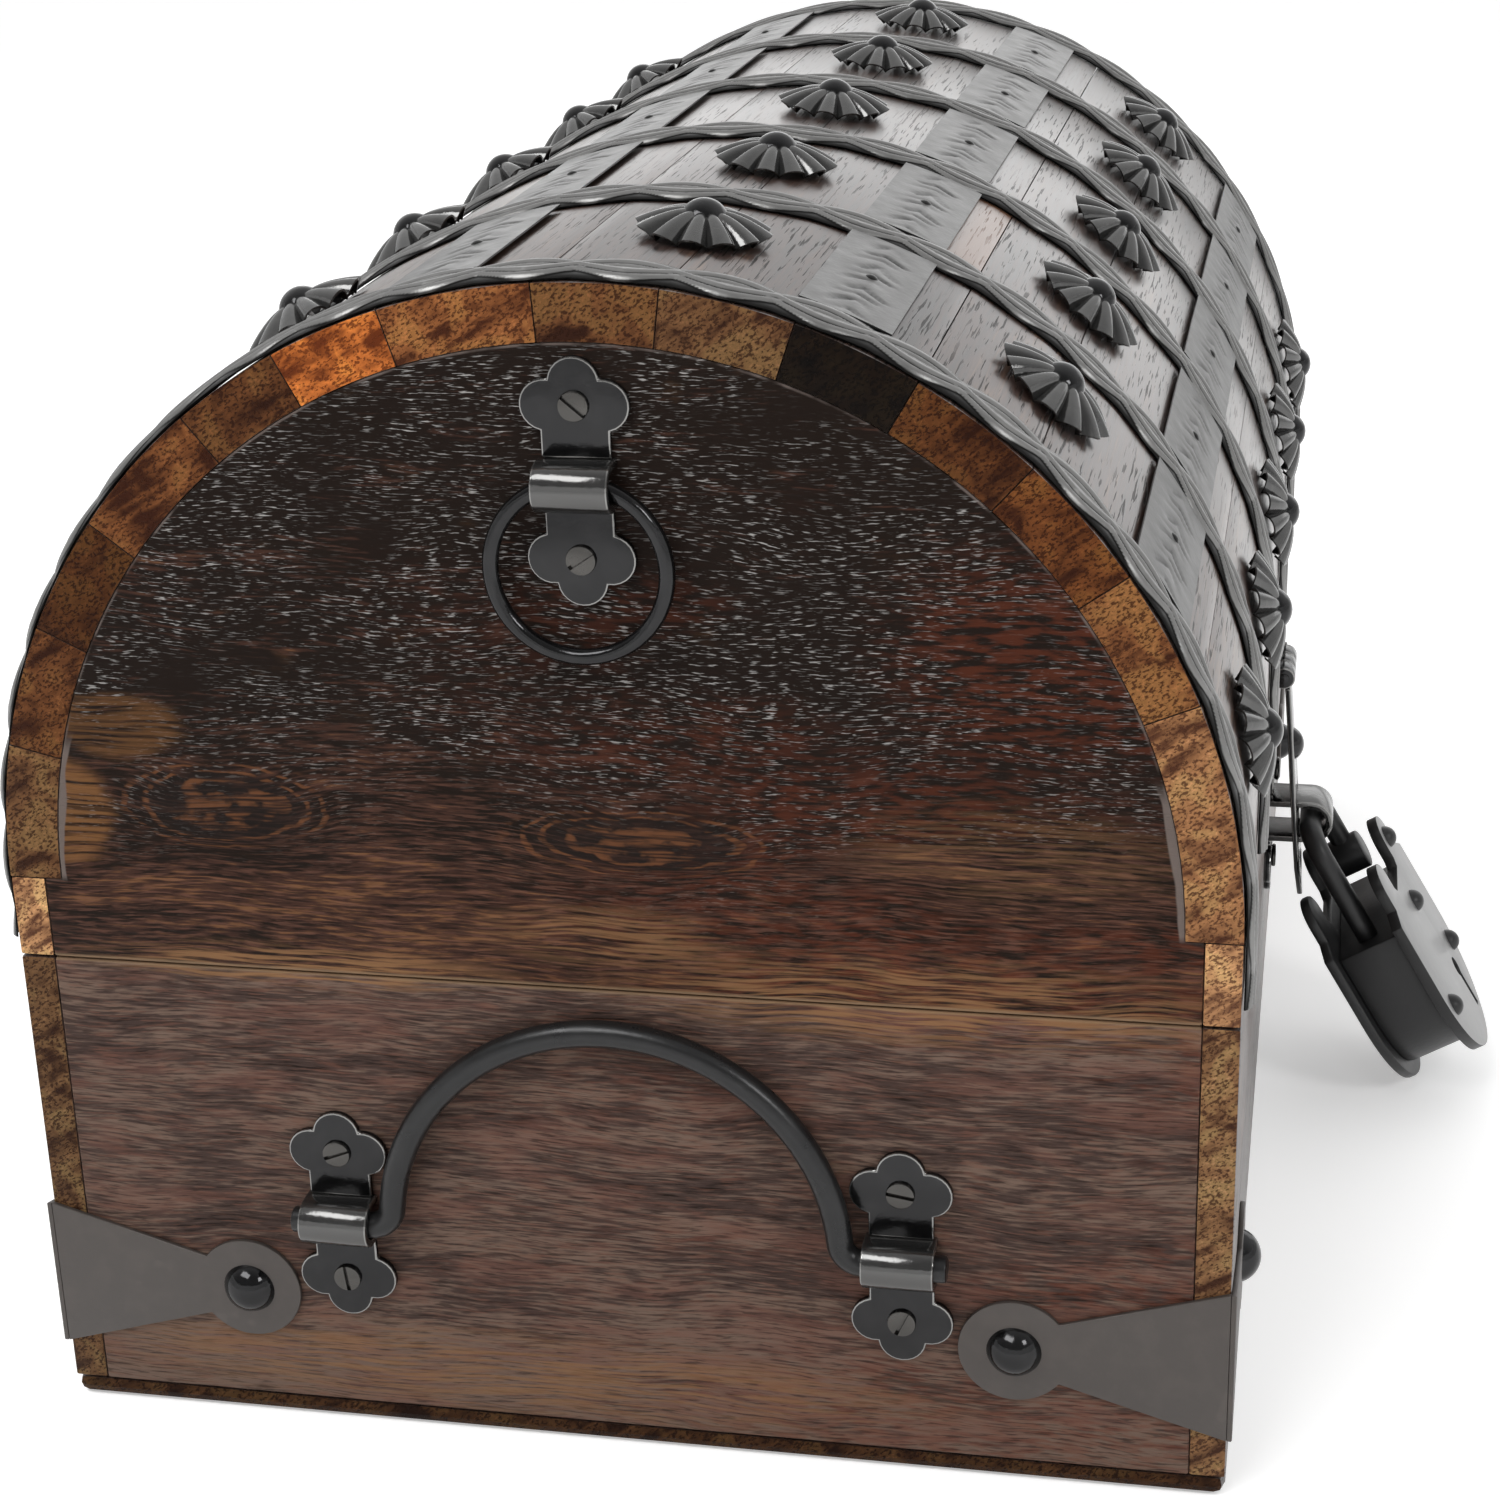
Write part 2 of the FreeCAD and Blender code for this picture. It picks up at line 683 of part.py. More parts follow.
def rounded_shield(width, top, depth, start, run):
    """A plate from one place along Y: straight sides down to a half-round bottom."""
    half = width / 2
    bottom = arc_points(Vector(0, 0, half - depth), half, 0, -180, disc_sides // 2)
    outline = [Vector(-half, 0, -top), Vector(half, 0, -top), *bottom, Vector(-half, 0, -top)]
    return prism(path(outline), Vector(0, run, 0)).translated(Vector(0, start, 0))


def padlock_plate(inner, outer):
    """A side plate between two places along Y, with a horn and an ear above the notch."""
    run = outer - inner
    pieces = [rounded_shield(plate_width, notch_depth, plate_depth, inner, run)]
    for way in (-1, 1):
        middle = Vector(way * shackle_spread / 2, inner, -ear_depth)
        pieces.append(rod(ear_radius, lobe_sides, middle, Vector(0, run, 0)))
        low, high = middle.x - ear_radius, middle.x + ear_radius
        y_low, y_high = sorted((inner, outer))
        pieces.append(block(low, high, y_low, y_high, -notch_depth, -ear_depth))
    return one_solid(pieces)


def padlock():
    """The padlock's pieces, hanging from the middle of the shackle's bar at the origin."""
    half_case = case_thickness / 2
    face = half_case + plate_thickness
    case = rounded_shield(case_width, case_top_depth, plate_depth - case_inset, -half_case, case_thickness)
    leg = -shackle_spread / 2
    room = shackle_wire / 2 + pocket_clearance
    floor = case_top_depth + shackle_entry + pocket_clearance
    pocket = block(leg - room - pocket_swing, leg + room, -room, room, -floor, overrun - case_top_depth)
    head = out_front(dome(rivet_head_radius, rivet_head_height))
    ear = Vector(shackle_spread / 2, -face, -ear_depth)
    shank = rod(rivet_radius, rod_sides, ear, Vector(0, 2 * face, 0))
    shares = [(rivet_top_offset, rivet_top_share), (-rivet_side, rivet_low_share), (rivet_side, rivet_low_share)]
    heads = [head.translated(Vector(x, -face, -plate_depth * share)) for x, share in shares]
    half_slit = plate_depth * keyhole_length_share / 2
    slit_middle = plate_depth * keyhole_share
    slit = block(
        keyhole_offset - keyhole_width / 2,
        keyhole_offset + keyhole_width / 2,
        -face - overrun,
        -half_case,
        -slit_middle - half_slit,
        half_slit - slit_middle,
    )
    plates = [padlock_plate(-half_case, -face).cut([slit, shank]), padlock_plate(half_case, face).cut(shank)]
    return {
        "padlock_shackle": padlock_shackle(),
        "padlock_case": case.cut(pocket),
        "padlock_plates": group(plates),
        "padlock_rivets": group([one_solid([shank, head.translated(ear)]), *heads]),
    }


def hung_padlock():
    """The padlock in its staple, tilted out so that its foot clears the floor."""
    spot = Vector(0, -shackle_out, staple_height)
    pieces = padlock().items()
    return {name: piece.rotated(CENTRE, X, -padlock_tilt).translated(spot) for name, piece in pieces}


def all_pieces():
    end_nodes, handle_heads, ring_heads = end_fittings()
    hinge_nodes, hinge_base_heads, hinge_lid_heads = back_hinges()
    hasp_nodes, staple_heads, hasp_heads = hasp()
    straps = {f"lid_strap_{number}": lid_strap(place) for number, place in enumerate(strap_places, start=1)}
    return {
        **base_boards(),
        **lid_boards(),
        **straps,
        "lid_bands": lid_bands(),
        **rosettes(),
        **corner_brackets(),
        **end_nodes,
        **hinge_nodes,
        **hasp_nodes,
        "base_screws": group(handle_heads + staple_heads + hinge_base_heads),
        "lid_screws": group(ring_heads + hasp_heads + hinge_lid_heads),
        **hung_padlock(),
    }


os.makedirs("parts", exist_ok=True)
for node, shape in all_pieces().items():
    shape.exportStep(f"parts/{node}.step")
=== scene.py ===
import json
import math

import bmesh
import bpy
from mathutils import Matrix, Vector


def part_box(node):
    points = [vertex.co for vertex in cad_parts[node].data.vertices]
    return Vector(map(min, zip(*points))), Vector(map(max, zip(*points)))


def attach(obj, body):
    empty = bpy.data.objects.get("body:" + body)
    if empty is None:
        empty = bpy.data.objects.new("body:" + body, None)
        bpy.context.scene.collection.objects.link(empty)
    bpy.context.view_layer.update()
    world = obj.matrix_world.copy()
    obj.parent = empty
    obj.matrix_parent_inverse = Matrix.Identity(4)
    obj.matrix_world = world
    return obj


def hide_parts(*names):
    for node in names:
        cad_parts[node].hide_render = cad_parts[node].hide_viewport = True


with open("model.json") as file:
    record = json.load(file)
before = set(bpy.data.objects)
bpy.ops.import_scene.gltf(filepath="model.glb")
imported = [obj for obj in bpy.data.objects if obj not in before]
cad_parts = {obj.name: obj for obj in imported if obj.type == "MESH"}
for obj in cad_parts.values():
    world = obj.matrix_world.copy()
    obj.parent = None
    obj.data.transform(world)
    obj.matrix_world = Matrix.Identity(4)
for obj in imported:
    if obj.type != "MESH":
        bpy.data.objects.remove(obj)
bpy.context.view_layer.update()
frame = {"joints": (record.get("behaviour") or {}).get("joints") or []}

bl_info = {
    "name": "Treasure coffer",
    "version": (1, 0, 0),
    "blender": (4, 5, 0),
    "location": "View3D > Sidebar > Coffer",
    "description": "Finishes a round-lidded wooden coffer with iron fittings and a padlock",
    "category": "Add Mesh",
}

# Layout of the coffer, in metres: length along X, front toward -Y, underside at zero
MM = 0.001
RAIL_LOW, RAIL_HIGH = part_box("lid_rail_front")
HALF_LENGTH = RAIL_HIGH.x
HALF_WIDTH = -RAIL_LOW.y
LID_LOW = RAIL_LOW.z
SPRING = RAIL_HIGH.z
WALL = 8 * MM
STAVE_THICKNESS = 12 * MM
STRAP_SEAT = 0.3 * MM
LID_RADIUS = HALF_WIDTH
INNER_RADIUS = LID_RADIUS - STAVE_THICKNESS
SEAT = LID_RADIUS + STRAP_SEAT
STRAPS = 6
STRAP_WIDTH = 15 * MM
STRAP_PITCH = (2 * HALF_LENGTH - STRAP_WIDTH) / (STRAPS - 1)
BAYS = [STRAP_PITCH * (number + 1 - STRAPS / 2) for number in range(STRAPS - 1)]
BAND_GAP = 0.3 * MM
BAND_LENGTH = STRAP_PITCH - STRAP_WIDTH - 2 * BAND_GAP
BAND_WIDTH = 20 * MM
SIDES = (("left", -1), ("right", 1))

# Angles over the lid, in degrees from its top line toward the front
STAVE_JOINTS = (-90, -76.5, -64.2, -52.4, -38.5, -28, -17.4, -3.5, 7.6, 19.3, 30.6, 42.5, 54.7, 67.5, 90)
BAND_ANGLES = (-51, -14, 22.5, 58.5)
ROSETTE_ANGLES = (-70, -32, 7, 41.5, 78)

# Places of the moving fittings, from the joints of the frame
JOINT_PLACES = {joint["name"]: joint["pos_m"] for joint in frame["joints"]}
BAIL_HEIGHT = JOINT_PLACES["bail_left_swing"][2]
SADDLE_OUT = -JOINT_PLACES["bail_left_swing"][0] - HALF_LENGTH
RING_HEIGHT = JOINT_PLACES["ring_left_swing"][2]
HINGE_HEIGHT = JOINT_PLACES["lid_hinge"][2]
BARREL_OUT = JOINT_PLACES["lid_hinge"][1] - HALF_WIDTH
HASP_HEIGHT = JOINT_PLACES["hasp_swing"][2]
STAPLE_HEIGHT = JOINT_PLACES["padlock_swing"][2]
SHACKLE_OUT = -JOINT_PLACES["padlock_swing"][1]
BAIL_STRAP_PLACE = 63.78 * MM
LEAF_LEAN = -5.0
PADLOCK_TILT = -30.5

# Sizes that several fittings share, in millimetres
SADDLE_LENGTH, SADDLE_WIDTH, SADDLE_PLATE, SADDLE_TUNNEL = 52.0, 16.0, 1.8, 3.4
STAPLE_LENGTH, STAPLE_WIDTH, STAPLE_TUNNEL = 46.0, 14.0, 4.2
SCREW_BACK = 10.0
BARREL_RADIUS, PIN_RADIUS, PIN_PAST = 3.0, 1.5, 0.3
LEAF_PLATE, LEAF_HEIGHT, LEAF_GAP, LEAF_NECK = 1.5, 15.0, 2.2, 3.5
HINGE_HALF, HINGE_KNUCKLE, HINGE_PLAY, HINGE_SCREW = 25.0, 9.0, 0.3, 16.0
HASP_HALF, HASP_BARREL, HASP_KNUCKLE, HASP_PLAY, HASP_SCREW = 12.0, 10.0, 3.2, 0.3, 7.0
PLATE_SCREW_RISE = 9.0

# Brightness and redness of each stave's cut end, from the back to the front
STAVE_TONES = (
    (0.62, 0.25), (0.48, 0.6), (0.24, 0.75), (0.6, 0.65), (0.4, 0.6), (1.75, 1.0), (0.9, 0.65),
    (0.5, 0.5), (0.58, 0.25), (0.03, 0.2), (0.33, 0.75), (0.48, 0.8), (0.78, 0.55), (1.35, 0.25),
)

# Marks on the end boards, in metres: place along Y and Z, half width, half height, and strength
KNOTS = ((0.083, 0.154, 0.03, 0.013), (-0.009, 0.15, 0.036, 0.01))
RED_AREA = (-0.092, 0.195, 0.04, 0.034)
TAN_PATCHES = ((0.121, 0.151, 0.016, 0.017, 0.75), (0.106, 0.1715, 0.019, 0.01, 0.45))
WORN_PATCHES = (
    (0.07, 0.1165, 0.06, 0.007, 0.9),
    (0.0, 0.128, 0.035, 0.009, 0.6),
    (-0.07, 0.117, 0.085, 0.013, 0.8),
    (0.03, 0.016, 0.13, 0.014, 0.6),
    (-0.088, 0.152, 0.045, 0.014, 0.3),
)

# The one pale block in the lid, from and to along X and Y, in metres
PALE_BLOCK_X = (-0.123, -0.0408)
PALE_BLOCK_Y = (-0.0687, -0.0445)


def length(name, description, value):
    return bpy.props.FloatProperty(name=name, description=description, default=value, min=0, unit="LENGTH")


def colour(name, description, value):
    return bpy.props.FloatVectorProperty(
        name=name, description=description, subtype="COLOR", size=4, min=0, max=1, default=(*value, 1)
    )


class CofferSizes(bpy.types.PropertyGroup):
    wood_edge: length("Wood edge", "Rounding of the boards' edges", 0.0006)
    bottom_edge: length("Bottom edge", "Rounding of the bottom board's edges", 0.004)
    metal_edge: length("Metal edge", "Rounding of the plates' edges", 0.0004)
    padlock_edge: length("Padlock edge", "Rounding of the padlock's edges", 0.0008)
    twist: length("Strap twist", "Length of one twist on the straps", 0.04)
    strap_rise: length("Strap rise", "Height of the pressed strands", 0.0012)
    chevron: length("Chevron", "Distance between the strokes on the bands", 0.0062)
    flutes: bpy.props.IntProperty(
        name="Flutes", description="Petals of each rosette", default=12, min=6, max=20
    )
    screw_slot: length("Screw slot", "Width of the slot in a screw head", 0.0009)


class CofferColours(bpy.types.PropertyGroup):
    wood_dark: colour("Dark wood", "Darkest streaks of the boards", (0.011, 0.0068, 0.005))
    wood_middle: colour("Middle wood", "Main colour of the boards", (0.046, 0.0245, 0.0185))
    wood_light: colour("Light wood", "Lightest streaks of the boards", (0.13, 0.074, 0.044))
    pore: colour("Pore", "Open pores of the boards", (0.006, 0.004, 0.003))
    pale_block: colour("Pale block", "The one pale block in the lid", (0.15, 0.066, 0.03))
    amber: colour("Amber", "Reddest end grain", (0.3, 0.085, 0.018))
    tan: colour("Tan", "Palest end grain", (0.21, 0.115, 0.055))
    panel: colour("Lid end", "Main colour of the lid's end boards", (0.046, 0.0215, 0.015))
    panel_light: colour("Light lid end", "Light streaks of the lid's end boards", (0.15, 0.07, 0.033))
    foot: colour("Base end", "Main colour of the base's end boards", (0.054, 0.0345, 0.029))
    foot_light: colour("Light base end", "Light streaks of the base's end boards", (0.155, 0.104, 0.08))
    # Painted highlights: this colour lays pale glints into the upper part of the end boards
    painted_glint: colour("Glint", "Pale flecks high on the end boards", (0.42, 0.405, 0.39))
    fleck: colour("Fleck", "Brown flecks low on the end boards", (0.15, 0.095, 0.065))
    red: colour("Red area", "Red streaks on the lid's end boards", (0.14, 0.034, 0.015))
    blush: colour("Blush", "Warm clouds on the base's end boards", (0.16, 0.075, 0.056))
    dark_line: colour("Dark line", "Fine dark lines of the end boards", (0.016, 0.01, 0.008))
    warm_line: colour("Warm line", "Fine warm lines of the end boards", (0.15, 0.07, 0.048))
    tan_patch: colour("Tan patch", "Sapwood at the edge of the end boards", (0.2, 0.092, 0.034))
    worn: colour("Worn wood", "Rubbed streaks of the end boards", (0.24, 0.125, 0.058))
    knot: colour("Knot", "Hearts of the knots", (0.012, 0.009, 0.008))
    knot_ring: colour("Knot ring", "Rings round the knots", (0.15, 0.06, 0.026))
    putty: colour("Putty", "Filler in the gaps of the end boards", (0.14, 0.112, 0.1))
    seam: colour("Seam", "Bare wood along the seam of lid and base", (0.25, 0.165, 0.1))
    iron: colour("Iron", "Black fittings", (0.03, 0.03, 0.0308))
    edge: colour("Iron edge", "Rubbed edges of the black fittings", (0.24, 0.237, 0.23))
    handle: colour("Handle", "Bails", (0.02, 0.02, 0.0206))
    rosette: colour("Rosette", "Fluted rosettes", (0.1, 0.0995, 0.0985))
    bracket: colour("Bracket", "Corner brackets", (0.064, 0.055, 0.05))
    groove: colour("Groove", "Hollows of the pressed straps", (0.009, 0.0086, 0.0083))
    crest: colour("Crest", "Rubbed crests of the pressed straps", (0.2, 0.198, 0.194))
    band: colour("Band", "Crests of the pressed bands", (0.075, 0.074, 0.072))
    band_groove: colour("Band groove", "Pressed strokes of the bands", (0.02, 0.0196, 0.0192))
    screw: colour("Screw", "Slotted heads of the screws", (0.075, 0.072, 0.068))
    padlock: colour("Padlock", "Padlock plates", (0.27, 0.27, 0.27))
    case: colour("Padlock case", "Black case of the padlock", (0.014, 0.014, 0.0145))


def sizes():
    return bpy.context.scene.coffer_sizes


def colours():
    return bpy.context.scene.coffer_colours


# Shader helpers


def feed(socket, value):
    """Links a value to a socket, or sets a number, vector or colour on it."""
    if isinstance(value, Value):
        socket.id_data.links.new(value.socket, socket)
    else:
        socket.default_value = value


def add(tree, kind, inputs=None, **settings):
    """What a new node of a kind gives, by number and by name."""
    made = tree.nodes.new(kind)
    for key, value in settings.items():
        setattr(made, key, value)
    for key, value in (inputs or {}).items():
        feed(made.inputs[key], value)
    return {key: Value(socket) for number, socket in enumerate(made.outputs) for key in (number, socket.name)}


class Value:
    """What a shader node gives; sums, differences and products add nodes to the same tree."""

    def __init__(self, socket):
        self.socket = socket

    def add(self, kind, inputs=None, output=0, **settings):
        return add(self.socket.id_data, kind, inputs, **settings)[output]

    def group(self, tree, inputs):
        """What a node group gives for its inputs."""
        return add(self.socket.id_data, "ShaderNodeGroup", inputs, node_tree=tree)

    def math(self, operation, first, second=0.0):
        return self.add("ShaderNodeMath", {0: first, 1: second}, operation=operation)

    def __add__(self, other):
        return self.math("ADD", self, other)

    def __sub__(self, other):
        return self.math("SUBTRACT", self, other)

    def __rsub__(self, other):
        return self.math("SUBTRACT", other, self)

    def __mul__(self, other):
        return self.math("MULTIPLY", self, other)

    def largest(self, other):
        return self.math("MAXIMUM", self, other)

    def vector(self, operation, other=(0, 0, 0), output="Vector"):
        return self.add("ShaderNodeVectorMath", {0: self, 1: other}, output, operation=operation)

    def parts(self):
        found = add(self.socket.id_data, "ShaderNodeSeparateXYZ", {0: self})
        return found["X"], found["Y"], found["Z"]

    def blend(self, first, second):
        """The first colour where this value is 0 and the second where it is 1."""
        return self.add("ShaderNodeMix", {0: self, 6: first, 7: second}, 2, data_type="RGBA")

    def paint(self, over, mask):
        """Lays a colour over this one where a mask is 1."""
        return mask.blend(self, over)

    def ramp(self, low, high):
        """Goes smoothly from 0 at low to 1 at high."""
        inputs = {"Value": self, "From Min": low, "From Max": high}
        return self.add("ShaderNodeMapRange", inputs, interpolation_type="SMOOTHSTEP")

    def between(self, low, high, soft=0.1 * MM):
        """1 from low to high and 0 outside, with soft edges."""
        return self.ramp(low - soft, low + soft) * self.ramp(high + soft, high - soft)

    def noise(self, scale, detail=3.0, distortion=0.0):
        """Noise with so many waves in a metre along each axis."""
        inputs = {"Vector": self.vector("MULTIPLY", scale), "Detail": detail, "Distortion": distortion}
        return self.add("ShaderNodeTexNoise", inputs | {"Scale": 1.0})

    def spot(self, y, z, wide, high):
        """1 in the middle of an ellipse on an end face and 0 outside it."""
        scaled = self.vector("SUBTRACT", (0, y, z)).vector("MULTIPLY", (1, 1 / wide, 1 / high))
        return scaled.vector("LENGTH", output="Value").ramp(1.0, 0.35)

    def without_x(self):
        return self.vector("MULTIPLY", (0, 1, 1))

    def lid_reach(self):
        """Distance from the middle line of the round lid."""
        return self.without_x().vector("DISTANCE", (0, 0, SPRING), "Value")

    def wood_roughness(self):
        return self.add("ShaderNodeMapRange", {"Value": self, "To Min": 0.35, "To Max": 0.6})


FINISH = {"Color": "Color", "Roughness": "Float", "Height": "Float"}


def new_group(name, inputs, outputs):
    """An empty node group with its sockets, and the values that it is given."""
    tree = bpy.data.node_groups.new(name, "ShaderNodeTree")
    for way, sockets in (("INPUT", inputs), ("OUTPUT", outputs)):
        for label, kind in sockets.items():
            tree.interface.new_socket(label, in_out=way, socket_type=f"NodeSocket{kind}")
    return tree, add(tree, "NodeGroupInput")


def wood_group():
    """Boards cut along the grain; the grain runs along the vector's first axis."""
    name = "Long grain"
    if name in bpy.data.node_groups:
        return bpy.data.node_groups[name]
    inputs = {
        "Vector": "Vector", "Dark": "Color", "Middle": "Color", "Light": "Color", "Tone": "Float",
        "Contrast": "Float", "Pore": "Color", "Pores": "Float", "Pore scale": "Vector",
    }
    tree, given = new_group(name, inputs, FINISH | {"Sheen": "Float"})
    vector = given["Vector"]
    figure = vector.noise((5, 45, 45), 3, 0.6)
    band = vector.noise((16, 240, 240), 4)
    streak = vector.noise((60, 1400, 1400), 4)
    value = (figure * 0.25 + band * 0.3 + streak * 0.45 - 0.5) * given["Contrast"] + 0.5 + given["Tone"]
    shade = value.ramp(0.37, 0.52).blend(given["Dark"], given["Middle"])
    shade = shade.paint(given["Light"], value.ramp(0.52, 0.68))
    patch = vector.noise((16, 55, 55), 3).ramp(0.3, 0.6)
    # On the end boards this pore mark also carries the painted glints
    pore = vector.noise(given["Pore scale"], 2).ramp(0.56, 0.66) * patch * given["Pores"]
    add(tree, "NodeGroupOutput", {
        "Color": shade.paint(given["Pore"], pore), "Roughness": streak.wood_roughness(),
        "Height": streak * 0.5 - pore, "Sheen": 1.0 - pore,
    })
    return tree


def end_grain_group():
    """Cut ends of boards: speckled pores, rays and growth rings, with small painted glints."""
    name = "End grain"
    if name in bpy.data.node_groups:
        return bpy.data.node_groups[name]
    tree, given = new_group(name, {"Vector": "Vector", "Light": "Color"}, FINISH)
    vector, light = given["Vector"], given["Light"]
    turned = vector.add("ShaderNodeVectorRotate", {"Vector": vector, "Angle": 0.6}, rotation_type="X_AXIS")
    rings = turned.noise((30, 60, 420), 4, 0.5)
    speckle = turned.noise((300, 1100, 2000), 3)
    cloud = vector.noise((20, 100, 100), 5, 0.8)
    value = rings * 0.45 + cloud * 0.55
    dark = light.vector("MULTIPLY", (0.22, 0.17, 0.2))
    gold = light.vector("MULTIPLY", (1.25, 1.5, 1.4))
    # pale is a brightened copy of the end-grain colour, used for painted glints
    pale = light.vector("MULTIPLY", (1.9, 2.0, 2.1))
    pore = speckle.ramp(0.52, 0.61)
    shade = value.ramp(0.37, 0.53).blend(dark, light)
    shade = shade.paint(gold, cloud.ramp(0.48, 0.62) * 0.85)
    shade = shade.paint(dark, pore * 0.85)
    # Painted highlights: pale glints among the speckles where the grain is light
    shade = shade.paint(pale, speckle.ramp(0.43, 0.32) * value.ramp(0.47, 0.6) * 0.8)
    outputs = {"Color": shade, "Roughness": speckle.wood_roughness(), "Height": rings * 0.4 - pore}
    add(tree, "NodeGroupOutput", outputs)
    return tree


def metal_group():
    """Sheet iron: faint mottling, scratches, small dents, and crests that are rubbed bright."""
    name = "Worn iron"
    if name in bpy.data.node_groups:
        return bpy.data.node_groups[name]
    inputs = {"Vector": "Vector", "Base": "Color", "Bright": "Color", "Rubbed": "Float", "Gloss": "Float"}
    tree, given = new_group(name, inputs, FINISH)
    vector, base = given["Vector"], given["Base"]
    mottle = vector.noise((160, 160, 160), 4)
    scratch = vector.noise((1400, 110, 110), 2).ramp(0.66, 0.72)
    light = base.vector("MULTIPLY", (2.2, 2.15, 2.1))
    shade = base.paint(light, (mottle.ramp(0.4, 0.7) + scratch) * 0.12)
    add(tree, "NodeGroupOutput", {
        "Color": shade.paint(given["Bright"], given["Rubbed"]),
        "Roughness": given["Gloss"] + (mottle - 0.5) * 0.2,
        "Height": vector.noise((700, 700, 700), 3),
    })
    return tree


# Materials


def start_material(name):
    """A new material, its shader's inputs and the object's own coordinates."""
    material = bpy.data.materials.new(name)
    material.use_nodes = True
    tree = material.node_tree
    return material, tree.nodes["Principled BSDF"].inputs, add(tree, "ShaderNodeTexCoord")["Object"]


def finish_material(shader, found, depth, shade=None):
    """Links a group's colour, or a shade made from it, its roughness and its height to the shader."""
    height = found["Height"]
    feed(shader["Base Color"], shade or found["Color"])
    feed(shader["Roughness"], found["Roughness"])
    relief = {"Height": height, "Distance": depth, "Strength": 0.6}
    feed(shader["Normal"], height.add("ShaderNodeBump", relief))


def own_values(place):
    """Brightness, redness and grain shift that each board carries."""
    return place.add("ShaderNodeAttribute", output="Vector", attribute_name="board").parts()


def long_wood(name, coat, block=0.0):
    """Boards and staves whose grain runs along the coffer, lacquered; one stave has a pale block."""
    if name in bpy.data.materials:
        return bpy.data.materials[name]
    material, shader, place = start_material(name)
    brightness, _, shift = own_values(place)
    found = place.group(wood_group(), {
        "Vector": place.vector("ADD", shift), "Dark": colours().wood_dark,
        "Middle": colours().wood_middle, "Light": colours().wood_light,
        "Tone": (brightness - 0.7) * 0.05, "Contrast": 1.0,
        "Pore": colours().pore, "Pores": 0.85, "Pore scale": (80, 1500, 1500),
    })
    x, y, _ = place.parts()
    outside = place.lid_reach().ramp(LID_RADIUS - 6 * MM, LID_RADIUS - 3 * MM)
    pale = x.between(*PALE_BLOCK_X) * y.between(*PALE_BLOCK_Y) * block * outside
    shade = found["Color"].paint(colours().pale_block, pale)
    finish_material(shader, found, depth=0.6 * MM, shade=shade)
    feed(shader["Coat Weight"], found["Sheen"] * coat)
    feed(shader["Coat Roughness"], 0.28)
    feed(shader["Coat IOR"], 1.75)
    return material


def end_wood():
    """Cut ends of the staves and long boards."""
    name = "Cut end wood"
    if name in bpy.data.materials:
        return bpy.data.materials[name]
    material, shader, place = start_material(name)
    brightness, redness, shift = own_values(place)
    light = redness.blend(colours().tan, colours().amber)
    light = light.add("ShaderNodeVectorMath", {0: light, "Scale": brightness}, operation="SCALE")
    found = place.group(end_grain_group(), {"Vector": place.vector("ADD", shift), "Light": light})
    finish_material(shader, found, depth=0.4 * MM)
    feed(shader["Specular IOR Level"], 0.07)
    return material


class EndFace:
    """Places, zones and noises that the finishes of an end board share."""

    def __init__(self, place):
        x, self.y, self.z = place.parts()
        self.flat = place.without_x()
        self.knots = [self.flat.spot(*knot) for knot in KNOTS]
        bent = self.z + self.flat.noise((1, 14, 30), 2) * 0.01 + (self.knots[0] + self.knots[1]) * 0.003
        self.grain = place.add("ShaderNodeCombineXYZ", {0: self.y * 2.2, 1: bent, 2: x})
        self.cloud = self.grain.noise((4, 30, 9), 4)
        self.streak = self.grain.noise((24, 1300, 60), 5)
        self.ragged = self.flat.noise((1, 70, 110), 4)
        level = self.z + (self.cloud - 0.5) * 0.1
        self.upper = level.ramp(0.132, 0.175)
        self.foot = level.ramp(0.05, 0.008)
        self.base = self.z.ramp(LID_LOW, LID_LOW - 0.4 * MM)


def panel_grain(face):
    """Streaked wood: nearly black with painted glints (pale painted highlights) above, browner below."""
    # The pale marks in the upper part are painted glints that stand in for highlights; this mask thins them
    # out
    painted_glint_spread = face.grain.noise((60, 800, 140), 2).ramp(0.36, 0.52)
    tone = face.upper * -0.155 - 0.03 + (face.cloud - 0.5) * 0.18 + face.base * 0.104 + face.foot * 0.112
    return face.grain.group(wood_group(), {
        "Vector": face.grain, "Dark": colours().wood_dark,
        "Middle": face.base.blend(colours().panel, colours().foot),
        "Light": face.base.blend(colours().panel_light, colours().foot_light),
        "Tone": tone, "Contrast": face.base * -0.5 + 1.7,
        "Pore": face.upper.blend(colours().fleck, colours().painted_glint),
        "Pores": (face.upper * 0.66 + 0.14) * painted_glint_spread, "Pore scale": (150, 2900, 500),
    })


def panel_tints(face, shade):
    """Red streaks toward the front, warm clouds on the base and fine lines below the glints."""
    red = (face.cloud.ramp(0.42, 0.6) * face.y.ramp(0.06, -0.06)).largest(face.flat.spot(*RED_AREA))
    streaky = face.grain.noise((60, 700, 90), 4).ramp(0.42, 0.6)
    shade = shade.paint(colours().red, red * face.z.ramp(0.235, 0.2) * streaky * 0.42)
    blush = face.grain.noise((16, 150, 40), 3).ramp(0.5, 0.66)
    shade = shade.paint(colours().blush, blush * face.base * 0.4)
    lower = 1.0 - face.upper
    lines = (((70, 1900, 330), colours().dark_line, 0.6), ((60, 1500, 250), colours().warm_line, 0.45))
    for scale, tint, strength in lines:
        shade = shade.paint(tint, face.grain.noise(scale, 3).ramp(0.52, 0.64) * lower * strength)
    return shade


